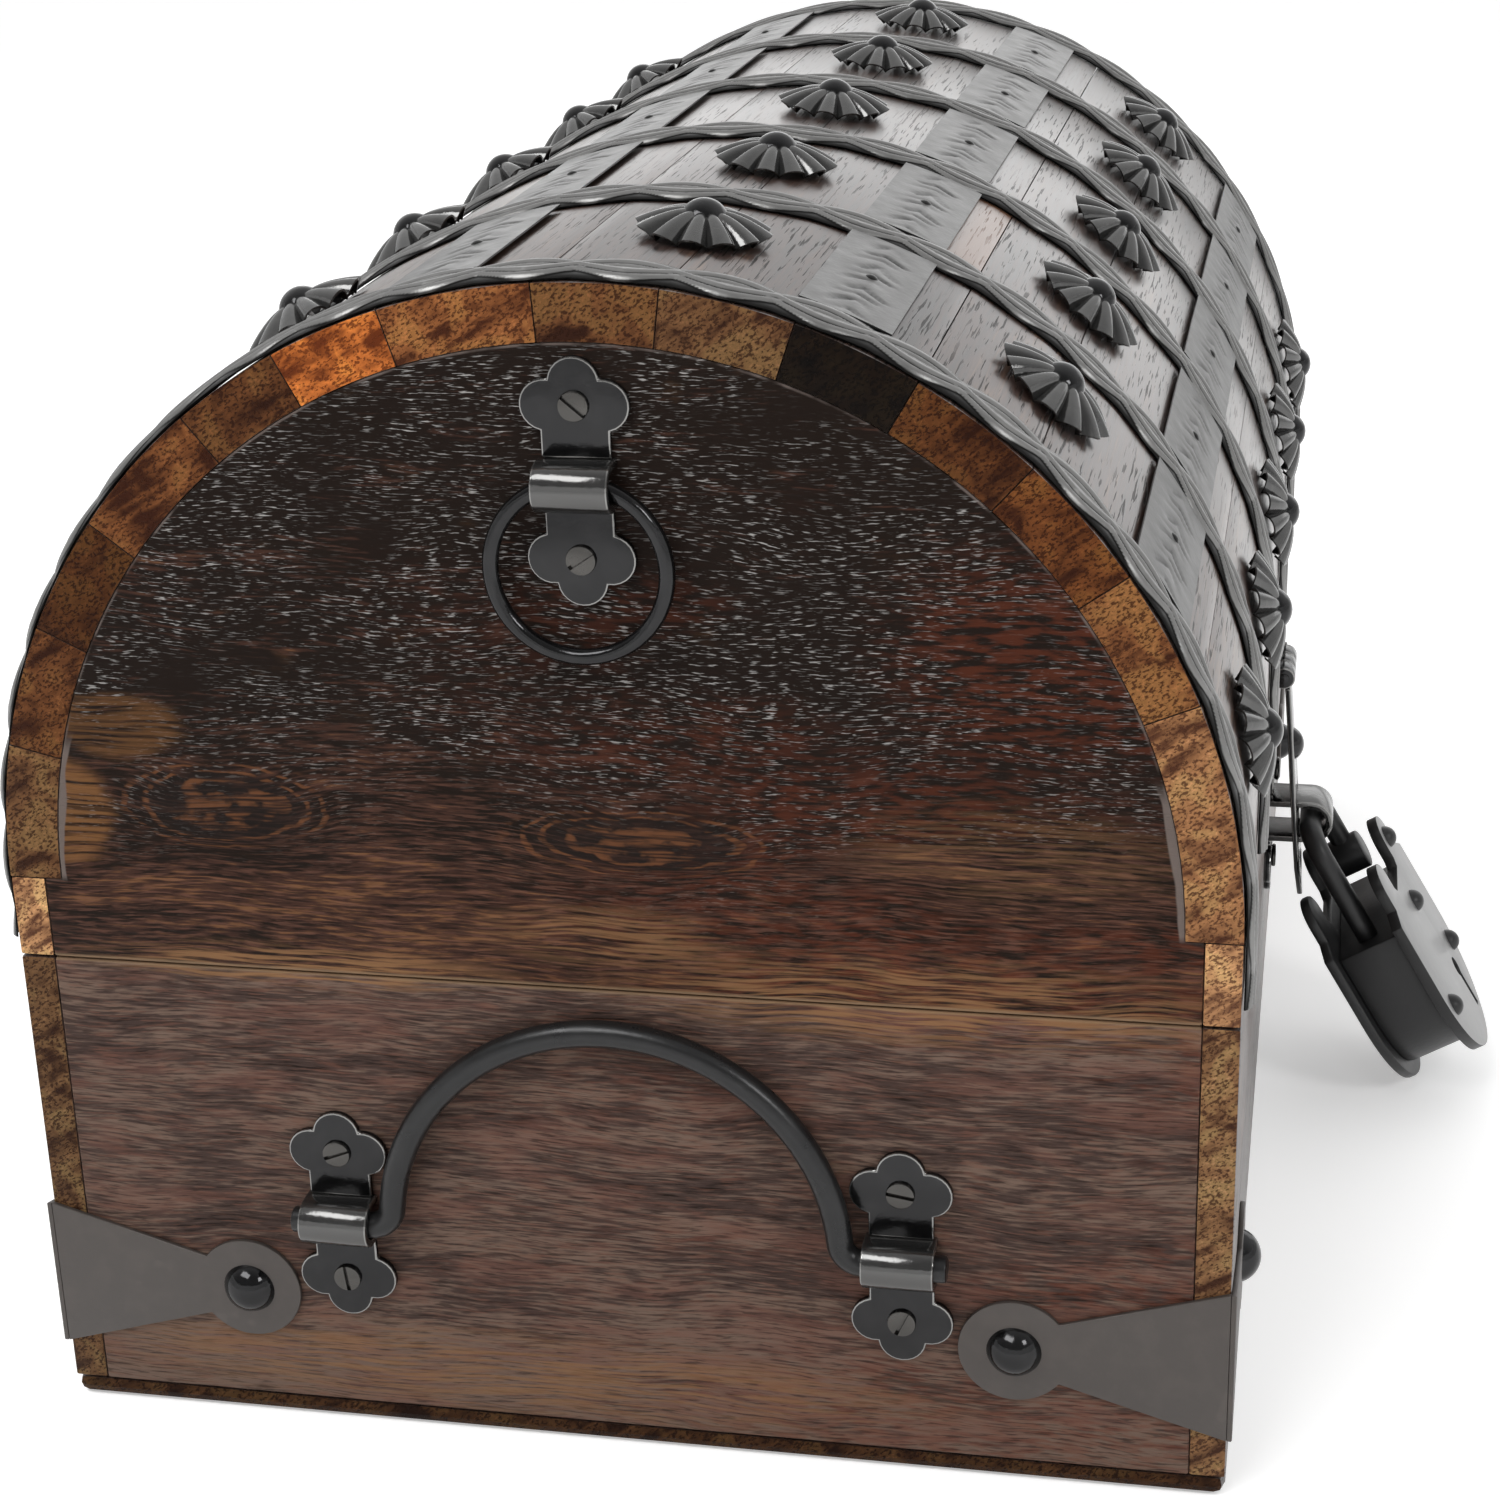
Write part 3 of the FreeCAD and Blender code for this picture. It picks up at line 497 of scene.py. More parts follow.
def panel_patches(face, shade):
    """Ragged tan sapwood at the back edge, and rubbed streaks."""
    for *area, strength in TAN_PATCHES:
        patch = (face.flat.spot(*area) + face.ragged * 0.9).ramp(0.55, 1.1)
        shade = shade.paint(colours().tan_patch, patch * face.streak.ramp(0.34, 0.6) * strength)
    for *area, strength in WORN_PATCHES:
        shade = shade.paint(colours().worn, face.flat.spot(*area) * face.streak.ramp(0.42, 0.6) * strength)
    return shade


def panel_knots(face, shade):
    """Dark hearts with broken rings."""
    for knot in face.knots:
        shade = shade.paint(colours().knot, knot.ramp(0.2, 1.0) * 0.65)
        ring = knot.math("SINE", knot * 20.0 + face.ragged * 14.0).ramp(0.2, 1.0)
        broken = knot.ramp(0.0, 0.4) * face.streak.ramp(0.4, 0.62)
        shade = shade.paint(colours().knot_ring, ring * broken * 0.75)
    return shade


def panel_putty(face, shade):
    """Filler low in the joint with the staves, a hair line above it, and bare wood along the seam."""
    reach = face.flat.lid_reach()
    wobble = face.flat.noise((60, 60, 60), 2) * (3.5 * MM)
    rim = (reach + wobble).ramp(INNER_RADIUS - 0.2 * MM, INNER_RADIUS + 0.3 * MM)
    low = face.z.ramp(0.17, 0.164) * face.z.ramp(0.1335, 0.136)
    shade = shade.paint(colours().putty, rim * low)
    hair = reach.ramp(INNER_RADIUS - 0.8 * MM, INNER_RADIUS - 0.4 * MM) * face.z.ramp(SPRING, SPRING + 2 * MM)
    broken = face.flat.noise((90, 90, 90), 3).ramp(0.4, 0.6)
    shade = shade.paint(colours().putty, hair * broken * 0.8)
    seam = face.z.math("ABSOLUTE", face.z - LID_LOW).ramp(1.2 * MM, 0.3 * MM)
    return shade.paint(colours().seam, seam * 0.8)


def panel_wood():
    """The end boards: nearly black above, browner below, with knots, worn spots and putty."""
    name = "End board wood"
    if name in bpy.data.materials:
        return bpy.data.materials[name]
    material, shader, place = start_material(name)
    face = EndFace(place)
    found = panel_grain(face)
    shade = found["Color"]
    for finish in (panel_tints, panel_patches, panel_knots, panel_putty):
        shade = finish(face, shade)
    finish_material(shader, found, depth=0.5 * MM, shade=shade)
    feed(shader["Specular IOR Level"], 0.06)
    return material


def metal(name, base, gloss, metallic=0.9, bright=None, rise=""):
    """Iron in a base colour; a rise attribute shows how far the crests are rubbed bright."""
    if name in bpy.data.materials:
        return bpy.data.materials[name]
    material, shader, place = start_material(name)
    inputs = {"Vector": place, "Base": base, "Bright": bright or base, "Rubbed": 0.0, "Gloss": gloss}
    if rise:
        inputs["Rubbed"] = place.add("ShaderNodeAttribute", output="Fac", attribute_name=rise).ramp(0.3, 0.8)
    finish_material(shader, place.group(metal_group(), inputs), depth=0.08 * MM)
    feed(shader["Metallic"], metallic)
    return material


def iron():
    return metal("Black iron", colours().iron, 0.15, bright=colours().edge, rise="rub")


def nail_iron():
    return metal("Nail iron", colours().iron, 0.1)


# Mesh helpers

WELD = 0.01 * MM
END_TURN = 0.75
SMOOTH_ANGLE = math.radians(38)
CROWN_RUB = 0.5
OUT_FRONT = Matrix.Rotation(math.pi / 2, 4, "X")
TO_BACK = Matrix.Rotation(math.pi, 4, "Z")
STAY = Matrix.Identity(4)


def at(x, y, z):
    return Matrix.Translation((x, y, z))


def flat(x, z):
    """A point of an outline in the XZ plane, given in millimetres."""
    return Vector((x * MM, 0, z * MM))


def verts_of(geometry):
    return [part for part in geometry if isinstance(part, bmesh.types.BMVert)]


def edges_of(geometry):
    return [part for part in geometry if isinstance(part, bmesh.types.BMEdge)]


def all_of(bm):
    return bm.verts[:] + bm.edges[:] + bm.faces[:]


def swing(bm, geometry, centre, degrees, steps):
    """Spins geometry about the Y axis through a centre and returns what it ends in."""
    turn = math.radians(degrees)
    swung = bmesh.ops.spin(bm, geom=geometry, cent=centre, axis=(0, -1, 0), angle=turn, steps=steps)
    return swung["geom_last"]


def draw(bm, start, moves):
    """A chain of edges in the XZ plane: each move is a point, or a centre, degrees and steps."""
    last = bmesh.ops.create_vert(bm, co=start)["vert"][0]
    for move in moves:
        if isinstance(move, Vector):
            made = bmesh.ops.extrude_vert_indiv(bm, verts=[last])["verts"]
            bmesh.ops.translate(bm, verts=made, vec=move - last.co)
        else:
            made = verts_of(swing(bm, [last], *move))
        last = made[0]


def soften(bm, width, least=50):
    """Rounds the edges that are sharper than an angle, and marks the new faces as rubbed."""
    layer = bm.faces.layers.float.get("rub") or bm.faces.layers.float.new("rub")
    sharp = [edge for edge in bm.edges if edge.is_manifold and edge.calc_face_angle() > math.radians(least)]
    made = bmesh.ops.bevel(
        bm, geom=sharp, offset=width, offset_type="OFFSET", segments=2, profile=0.5, affect="EDGES",
        material=-1, clamp_overlap=True,
    )
    for face in made["faces"]:
        face[layer] = 1.0


def push(bm, way):
    """Pushes the faces along a way into a closed solid."""
    made = bmesh.ops.extrude_face_region(bm, geom=bm.faces[:])["geom"]
    bmesh.ops.translate(bm, verts=verts_of(made), vec=way)


def sheet_metal(bm, thickness):
    """Gives an open pressed sheet its thickness."""
    bmesh.ops.recalc_face_normals(bm, faces=bm.faces[:])
    bmesh.ops.solidify(bm, geom=bm.faces[:], thickness=thickness)


def plate(start, moves, depth, edge, holes=()):
    """A flat plate with an outline in the XZ plane, from Y zero out to the front."""
    bm = bmesh.new()
    draw(bm, start, [*moves, start])
    for first, *others in holes:
        draw(bm, first, [*others, first])
    bmesh.ops.remove_doubles(bm, verts=bm.verts[:], dist=WELD)
    if holes:
        bmesh.ops.triangle_fill(bm, edges=bm.edges[:], use_beauty=True)
    else:
        bmesh.ops.contextual_create(bm, geom=bm.edges[:])
    push(bm, (0, -depth, 0))
    soften(bm, edge)
    return bm


def box(low, high, edge):
    bm = bmesh.new()
    middle = (Vector(low) + Vector(high)) / 2
    size = Vector(high) - Vector(low)
    bmesh.ops.create_cube(bm, size=1, matrix=Matrix.Translation(middle) @ Matrix.Diagonal((*size, 1)))
    soften(bm, edge)
    return bm


def rod(radius, low, high, sides=36):
    """A round rod along X with softened ends; sizes in millimetres."""
    bm = bmesh.new()
    place = at((low + high) / 2 * MM, 0, 0) @ Matrix.Rotation(math.pi / 2, 4, "Y")
    bmesh.ops.create_cone(
        bm, cap_ends=True, segments=sides, radius1=radius * MM, radius2=radius * MM, depth=(high - low) * MM,
        matrix=place,
    )
    soften(bm, sizes().metal_edge)
    return bm


def dome(radius, height, steps=6, sides=28):
    """A round nail head on the XY plane, rounded toward +Z; sizes in millimetres."""
    bm = bmesh.new()
    ball = (radius**2 + height**2) / (2 * height)
    turn = math.degrees(math.asin(radius / ball))
    draw(bm, flat(0, height), [(flat(0, height - ball), -turn, steps), flat(0, 0)])
    bmesh.ops.spin(
        bm, geom=bm.verts[:] + bm.edges[:], cent=(0, 0, 0), axis=(0, 0, 1), angle=2 * math.pi, steps=sides,
        use_merge=True,
    )
    bmesh.ops.remove_doubles(bm, verts=bm.verts[:], dist=WELD)
    return bm


def tube(radius, start, heading, moves, sides=18):
    """A round bar in the XZ plane: each move is a straight run, or a centre, degrees and steps."""
    bm = bmesh.new()
    place = Matrix.Translation(start) @ heading.to_track_quat("Z", "Y").to_matrix().to_4x4()
    bmesh.ops.create_circle(bm, cap_ends=False, radius=radius, segments=sides, matrix=place)
    ring = bm.edges[:]
    for move in moves:
        if isinstance(move, Vector):
            made = bmesh.ops.extrude_edge_only(bm, edges=ring)["geom"]
            bmesh.ops.translate(bm, verts=verts_of(made), vec=move)
        else:
            made = swing(bm, ring + list({vert for edge in ring for vert in edge.verts}), *move)
        ring = edges_of(made)
    bmesh.ops.holes_fill(bm, edges=bm.edges[:], sides=0)
    soften(bm, radius / 5, 80)
    return bm


def join(*pieces):
    """One mesh from pairs of a part and the places where it stands."""
    whole = bmesh.new()
    for part, places in pieces:
        mesh = bpy.data.meshes.new("part")
        part.to_mesh(mesh)
        part.free()
        for place in places:
            copy = mesh.copy()
            copy.transform(place)
            whole.from_mesh(copy)
            bpy.data.meshes.remove(copy)
        bpy.data.meshes.remove(mesh)
    return whole


def keep(bm, name, body, materials, nodes, end=False):
    """Makes a piece of the mesh that stands for frame nodes and moves with a body."""
    bmesh.ops.recalc_face_normals(bm, faces=bm.faces[:])
    if end:
        for face in bm.faces:
            face.material_index = 1 if abs(face.normal.x) > END_TURN else 0
    mesh = bpy.data.meshes.new(name)
    bm.to_mesh(mesh)
    bm.free()
    mesh.shade_smooth()
    mesh.set_sharp_from_angle(angle=SMOOTH_ANGLE)
    for material in materials:
        mesh.materials.append(material)
    piece = bpy.data.objects.new(name, mesh)
    bpy.context.scene.collection.objects.link(piece)
    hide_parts(*nodes)
    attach(piece, body)


def keep_iron(bm, node, body, material=None):
    """Keeps a black fitting that stands for one frame node."""
    keep(bm, f"{node}_iron", body, [material or iron()], [node])


def mark(bm, values):
    """Gives every face the brightness, redness and grain shift of its board."""
    layer = bm.faces.layers.float_vector.new("board")
    for face in bm.faces:
        face[layer] = values


def over_lid(place, angle):
    """From the middle of the round to a place along X, turned by an angle toward the front."""
    return at(place, 0, SPRING) @ Matrix.Rotation(math.radians(angle), 4, "X")


def on_lid(place, angle, rise=0.0):
    """From the XY plane to the seat on the lid, raised by some millimetres."""
    return over_lid(place, angle) @ at(0, 0, SEAT + rise * MM)


def on_end(side, place, height):
    """Sets a piece made for the front, facing -Y, on an end board."""
    return at(side * HALF_LENGTH, place, height) @ Matrix.Rotation(side * math.pi / 2, 4, "Z")


def lid_path(along, out):
    """A point over the lid: distance along the round from the top line, and distance from its middle."""
    quarter = LID_RADIUS * math.pi / 2
    past = max(abs(along) - quarter, 0)
    angle = max(-quarter, min(quarter, along)) / LID_RADIUS
    return -out * math.sin(angle), SPRING + out * math.cos(angle) - past


def screw_head():
    """A slotted round head on the front face."""
    radius, height, slot_share, turn = 3.2 * MM, 1.1 * MM, 0.7, 0.6
    half_slot = sizes().screw_slot / 2
    bm = bmesh.new()
    bmesh.ops.create_circle(bm, cap_ends=True, radius=radius, segments=24)
    push(bm, (0, 0, height))
    soften(bm, sizes().metal_edge)
    for way in (-1, 1):
        bmesh.ops.bisect_plane(
            bm, geom=all_of(bm), dist=WELD, plane_co=(0, way * half_slot, 0), plane_no=(0, 1, 0)
        )
    top = [face for face in bm.faces if face.calc_center_median().z > height * 0.9]
    slot = [face for face in top if abs(face.calc_center_median().y) < half_slot]
    made = bmesh.ops.extrude_face_region(bm, geom=slot)["geom"]
    bmesh.ops.translate(bm, verts=verts_of(made), vec=(0, 0, -height * slot_share))
    bmesh.ops.delete(bm, geom=slot, context="FACES_ONLY")
    bm.transform(OUT_FRONT @ Matrix.Rotation(turn, 4, "Z"))
    return bm


def saddle(length, width, tunnel, out):
    """A strap bent over a bar, with three-lobed feet, facing the front; sizes in millimetres."""
    lobe, spread, back, neck_inset = 5.4, 6.0, 10.0, 0.8
    high, outer, neck = length / 2, tunnel + SADDLE_PLATE, width / 2 - neck_inset
    side, top = flat(spread, high - back), flat(0, high - lobe)
    half = (top - side).length / 2
    across = Vector((side.z - top.z, 0, top.x - side.x)).normalized()
    notch = (side + top) / 2 - across * math.sqrt((lobe * MM) ** 2 - half**2)
    first = math.degrees(math.acos((neck - spread) / lobe))
    side_turn = math.degrees(math.atan2(notch.z - side.z, notch.x - side.x)) + first
    top_turn = 180 - 2 * math.degrees(math.atan2(notch.z - top.z, notch.x - top.x))
    moves = [
        flat(neck, high - back - lobe * math.sin(math.radians(first))),
        (side, side_turn, 12),
        (top, top_turn, 12),
        (flat(-spread, high - back), side_turn, 12),
        flat(-neck, outer),
    ]
    foot = plate(flat(neck, outer), moves, SADDLE_PLATE * MM, sizes().metal_edge)
    bend = [
        flat(out, tunnel),
        (flat(out, 0), -180, 14),
        flat(0, -tunnel),
        flat(0, -outer),
        flat(out, -outer),
        (flat(out, 0), 180, 18),
        flat(0, outer),
    ]
    crown = plate(flat(0, tunnel), bend, width * MM, sizes().metal_edge)
    layer = crown.faces.layers.float["rub"]
    for face in crown.faces:
        face[layer] = max(face[layer], CROWN_RUB)
    turn = Matrix.Rotation(-math.pi / 2, 4, "Z") @ at(0, width * MM / 2, 0)
    return join((foot, [STAY, Matrix.Rotation(math.pi, 4, "Y")]), (crown, [turn]))


def hinge_half(half_width, knuckles, way, places):
    """A leaf that goes up or down from a barrel, with its rolled knuckles; sizes in millimetres."""
    spans = [((-half_width, half_width), (way * LEAF_GAP, way * LEAF_HEIGHT))]
    spans += [(knuckle, (0, way * LEAF_NECK)) for knuckle in knuckles]
    pieces = [(rod(BARREL_RADIUS, *knuckle), places) for knuckle in knuckles]
    for (left, right), heights in spans:
        low, high = sorted(heights)
        corner = (left * MM, BARREL_OUT - LEAF_PLATE * MM, low * MM)
        pieces.append((box(corner, (right * MM, BARREL_OUT, high * MM), sizes().metal_edge), places))
    return join(*pieces)


def screw_pair(length):
    """Places of the two screws on the feet of a saddle strap."""
    return [at(0, -SADDLE_PLATE * MM, way * (length / 2 - SCREW_BACK) * MM) for way in (-1, 1)]


def twisted_strands(side, turn):
    """Height from 0 to 1 over two crossing strands with grooves, and how far the place is rubbed."""
    strand, spread, depth = 3.3 * MM, 3.64 * MM, 0.7
    rim, groove_place, groove_width = 0.12, 0.42, 0.28
    height = rubbed = 0.0
    for way in (-1, 1):
        off = abs(side - way * turn * spread) / strand
        if off < 1:
            groove = max(0, 1 - (1 - off) / rim, 1 - abs(off - groove_place) / groove_width)
            full = math.sqrt(1 - off**2) * (1 - depth * groove)
            if full > height:
                height, rubbed = full, 1 - groove
    return height, rubbed


def pressed_strokes(along, side):
    """1 on the plain band, and less in the uneven strokes of a herringbone."""
    pitch = sizes().chevron
    place = (along + 0.9 * abs(side)) / pitch + 0.2 * math.sin(along / pitch * 2.3)
    uneven = 2.4 * math.floor(place) + math.copysign(0.9, side)
    stroke = max(1 - abs(place % 1 - 0.5) / 0.26, 0) * (0.65 + 0.35 * math.sin(uneven))
    reach = (5.4 + 1.2 * math.cos(1.7 * uneven)) * MM
    inside = max(1 - (abs(side) / reach) ** 4, 0) * max(1 - (2 * abs(along) / BAND_LENGTH) ** 12, 0)
    return 1 - stroke * inside


# Operators, one for each group of like pieces


class CofferOperator:
    bl_options = {"REGISTER", "UNDO"}


class COFFER_OT_boards(CofferOperator, bpy.types.Operator):
    """Makes the boards of the base and the rails and end boards of the lid"""

    bl_idname = "coffer.boards"
    bl_label = "Boards"

    def execute(self, context):
        edge = sizes().wood_edge
        wood = [long_wood("Board wood", coat=0.5), end_wood()]
        # Node, piece, body, rounding, and the brightness, redness and grain shift of the board
        long_boards = (
            ("base_front", "base_front_board", "base", edge, (1.0, 0.1, 0.0)),
            ("base_back", "base_back_board", "base", edge, (0.6, 0.1, 0.37)),
            ("lid_rail_front", "lid_rail_front_board", "lid", edge, (2.2, 0.1, 0.74)),
            ("lid_rail_back", "lid_rail_back_board", "lid", edge, (2.2, 0.1, 1.11)),
            ("base_bottom", "bottom_board", "base", sizes().bottom_edge, (0.2, 0.4, 1.9)),
        )
        for node, piece, body, rounding, values in long_boards:
            bm = box(*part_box(node), rounding)
            mark(bm, values)
            keep(bm, piece, body, wood, [node], end=True)
        inner = HALF_WIDTH - WALL
        outline = [
            Vector((inner, 0, LID_LOW)),
            Vector((inner, 0, SPRING)),
            Vector((INNER_RADIUS, 0, SPRING)),
            (Vector((0, 0, SPRING)), 180, 64),
            Vector((-inner, 0, SPRING)),
        ]
        for name, side in SIDES:
            node = f"base_end_{name}"
            board = box(*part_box(node), edge)
            keep(board, f"base_end_board_{name}", "base", [panel_wood()], [node])
            panel = plate(Vector((-inner, 0, LID_LOW)), outline, WALL, edge)
            panel.transform(on_end(side, 0, 0) @ at(0, WALL, 0))
            keep(panel, f"lid_end_board_{name}", "lid", [panel_wood()], [f"lid_end_{name}"])
        return {"FINISHED"}


class COFFER_OT_staves(CofferOperator, bpy.types.Operator):
    """Makes the staves of the round lid, each with its own tone"""

    bl_idname = "coffer.staves"
    bl_label = "Staves"

    def execute(self, context):
        gap, steps, edge_share, shift = 0.04, 8, 0.35, 0.61
        wood = [long_wood("Stave wood", coat=1.0, block=0.8), end_wood()]
        for number, (low, high) in enumerate(zip(STAVE_JOINTS, STAVE_JOINTS[1:])):
            bm = bmesh.new()
            start = math.radians(low + gap)
            ends = []
            for radius in (INNER_RADIUS, LID_RADIUS):
                corner = (-HALF_LENGTH, -radius * math.sin(start), SPRING + radius * math.cos(start))
                ends += bmesh.ops.create_vert(bm, co=corner)["vert"]
            bmesh.ops.contextual_create(bm, geom=ends)
            bmesh.ops.spin(
                bm, geom=bm.verts[:] + bm.edges[:], cent=(0, 0, SPRING), axis=(1, 0, 0),
                angle=math.radians(high - low - 2 * gap), steps=steps,
            )
            push(bm, (2 * HALF_LENGTH, 0, 0))
            soften(bm, sizes().wood_edge * edge_share)
            mark(bm, (*STAVE_TONES[number], number * shift))
            node = f"lid_stave_{number + 1:02d}"
            keep(bm, f"{node}_wood", "lid", wood, [node], end=True)
        return {"FINISHED"}


class COFFER_OT_straps(CofferOperator, bpy.types.Operator):
    """Makes the pressed cross straps with their twisted strands and small nails"""

    bl_idname = "coffer.straps"
    bl_label = "Straps"

    def execute(self, context):
        half, lift, thickness, past, waist = 7.0 * MM, 0.6 * MM, 0.45 * MM, 15 * MM, 0.84
        nail_radius, nail_height, nail_rise, nail_angles = 1.3, 0.9, 0.8, range(-84, 90, 24)
        length = 2 * (LID_RADIUS * math.pi / 2 + past)
        pressed = metal("Strap iron", colours().groove, 0.36, 0.85, colours().crest, "rise")
        for number in range(STRAPS):
            middle = STRAP_PITCH * (number - (STRAPS - 1) / 2)
            bm = bmesh.new()
            bmesh.ops.create_grid(bm, x_segments=48, y_segments=600, size=0.5)
            layer = bm.verts.layers.float.new("rise")
            for vert in bm.verts:
                along = vert.co.y * length
                turn = math.sin(2 * math.pi * along / sizes().twist + number)
                side = 2 * vert.co.x * half * (waist + (1 - waist) * abs(turn))
                height, vert[layer] = twisted_strands(side, turn)
                crown = 1 - abs(2 * vert.co.x) ** 8
                y, z = lid_path(along, SEAT + lift * crown + height * sizes().strap_rise)
                vert.co = (middle + side, y, z)
            sheet_metal(bm, thickness)
            nails = [on_lid(middle, angle, nail_rise) for angle in nail_angles]
            bm = join((bm, [STAY]), (dome(nail_radius, nail_height, 3, 10), nails))
            node = f"lid_strap_{number + 1}"
            keep(bm, f"{node}_pressed", "lid", [pressed], [node])
        return {"FINISHED"}


class COFFER_OT_bands(CofferOperator, bpy.types.Operator):
    """Makes the lengthwise bands with their herringbone strokes"""

    bl_idname = "coffer.bands"
    bl_label = "Bands"

    def execute(self, context):
        floor, depth, thickness = 0.35 * MM, 0.5 * MM, 0.4 * MM
        nail_radius, nail_height, nail_rise = 1.9, 1.2, 0.6
        pressed = metal("Band iron", colours().band_groove, 0.34, 0.85, colours().band, "rise")
        bm = bmesh.new()
        bmesh.ops.create_grid(bm, x_segments=108, y_segments=20, size=0.5)
        layer = bm.verts.layers.float.new("rise")
        for vert in bm.verts:
            along, side = vert.co.x * BAND_LENGTH, vert.co.y * BAND_WIDTH
            vert[layer] = pressed_strokes(along, side)
            y, z = lid_path(side, SEAT + floor + depth * vert[layer])
            vert.co = (along, y, z - SPRING)
        sheet_metal(bm, thickness)
        spots = [(place, angle) for place in BAYS for angle in BAND_ANGLES]
        nails = [on_lid(*spot, nail_rise) for spot in spots]
        bm = join((bm, [over_lid(*spot) for spot in spots]), (dome(nail_radius, nail_height, 4, 14), nails))
        keep(bm, "lid_bands_pressed", "lid", [pressed], ["lid_bands"])
        return {"FINISHED"}


class COFFER_OT_rosettes(CofferOperator, bpy.types.Operator):
    """Makes the fluted rosettes and the domed nails in their middles"""

    bl_idname = "coffer.rosettes"
    bl_label = "Rosettes"

    def execute(self, context):
        hub, rim, hub_height, bulge_height, foot = 3.6 * MM, 14.8 * MM, 5.2 * MM, 1.9 * MM, 0.4 * MM
        nail_radius, nail_height, nail_rise = 4.9, 3.0, 5.3
        thickness, scallop = 0.5 * MM, 0.17
        flutes = sizes().flutes
        bm = bmesh.new()
        bmesh.ops.create_grid(bm, x_segments=9, y_segments=12, size=0.5)
        layer = bm.verts.layers.float.new("rise")
        for vert in bm.verts:
            out, side = vert.co.x + 0.5, 2 * vert.co.y
            bulge = (1 - abs(side) ** 2.2) * (0.2 + 0.8 * out)
            reach = hub + out * (rim * (1 - scallop * side**2) - hub)
            turn = side * math.pi / flutes
            vert[layer] = bulge
            height = hub_height * (1 - out**1.5) + bulge * bulge_height + foot
            vert.co = (reach * math.cos(turn), reach * math.sin(turn), height)
        bmesh.ops.spin(
            bm, geom=all_of(bm), cent=(0, 0, 0), axis=(0, 0, 1), angle=2 * math.pi * (flutes - 1) / flutes,
            steps=flutes - 1, use_duplicate=True,
        )
        bmesh.ops.remove_doubles(bm, verts=bm.verts[:], dist=WELD)
        sheet_metal(bm, thickness)
        spots = [(place, angle) for place in BAYS for angle in ROSETTE_ANGLES]
        petals = join((bm, [on_lid(*spot) for spot in spots]))
        petal_iron = metal("Rosette iron", colours().rosette, 0.15)
        keep(petals, "rosette_petals", "lid", [petal_iron], ["rosettes"])
        nails = join((dome(nail_radius, nail_height), [on_lid(*spot, nail_rise) for spot in spots]))
        keep(nails, "rosette_domes", "lid", [nail_iron()], ["rosette_nails"])
        return {"FINISHED"}


class COFFER_OT_brackets(CofferOperator, bpy.types.Operator):
    """Makes the four corner brackets and their domed nails"""

    bl_idname = "coffer.brackets"
    bl_label = "Corner brackets"

    def execute(self, context):
        disc, radius, corner, neck, thick, height = 46.6, 12.4, 18.5, 7.5, 1.2, 33.8
        nail_radius, nail_height, edge_share = 6.1, 4.2, 0.7
        turn = 180 - math.degrees(math.asin(neck / radius))
        meet = disc - math.sqrt(radius**2 - neck**2)
        middle = at(-HALF_LENGTH, -HALF_WIDTH, height * MM)
        swap = Matrix(((0, 1, 0, 0), (1, 0, 0, 0), (0, 0, 1, 0), (0, 0, 0, 1)))
        satin = metal("Bracket iron", colours().bracket, 0.42, 0.3)
        nail_places = []
        for across, flip_y in (("front", 1), ("back", -1)):
            for along, flip_x in (("left", 1), ("right", -1)):
                flip = Matrix.Diagonal((flip_x, flip_y, 1, 1))
                arms = []
                for start, way in ((-thick, STAY), (0, swap)):
                    place = flip @ middle @ way
                    moves = [flat(meet, -neck), (flat(disc, 0), 2 * turn, 40), flat(start, corner)]
                    arm = plate(flat(start, -corner), moves, thick * MM, sizes().metal_edge * edge_share)
                    arms.append((arm, [place]))
                    nail_places.append(place @ at(disc * MM, -thick * MM, 0) @ OUT_FRONT)
                node = f"corner_bracket_{across}_{along}"
                keep(join(*arms), f"{node}_plate", "base", [satin], [node])
        nails = join((dome(nail_radius, nail_height, 8, 36), nail_places))
        keep(nails, "bracket_domes", "base", [nail_iron()], ["bracket_nails"])
        return {"FINISHED"}


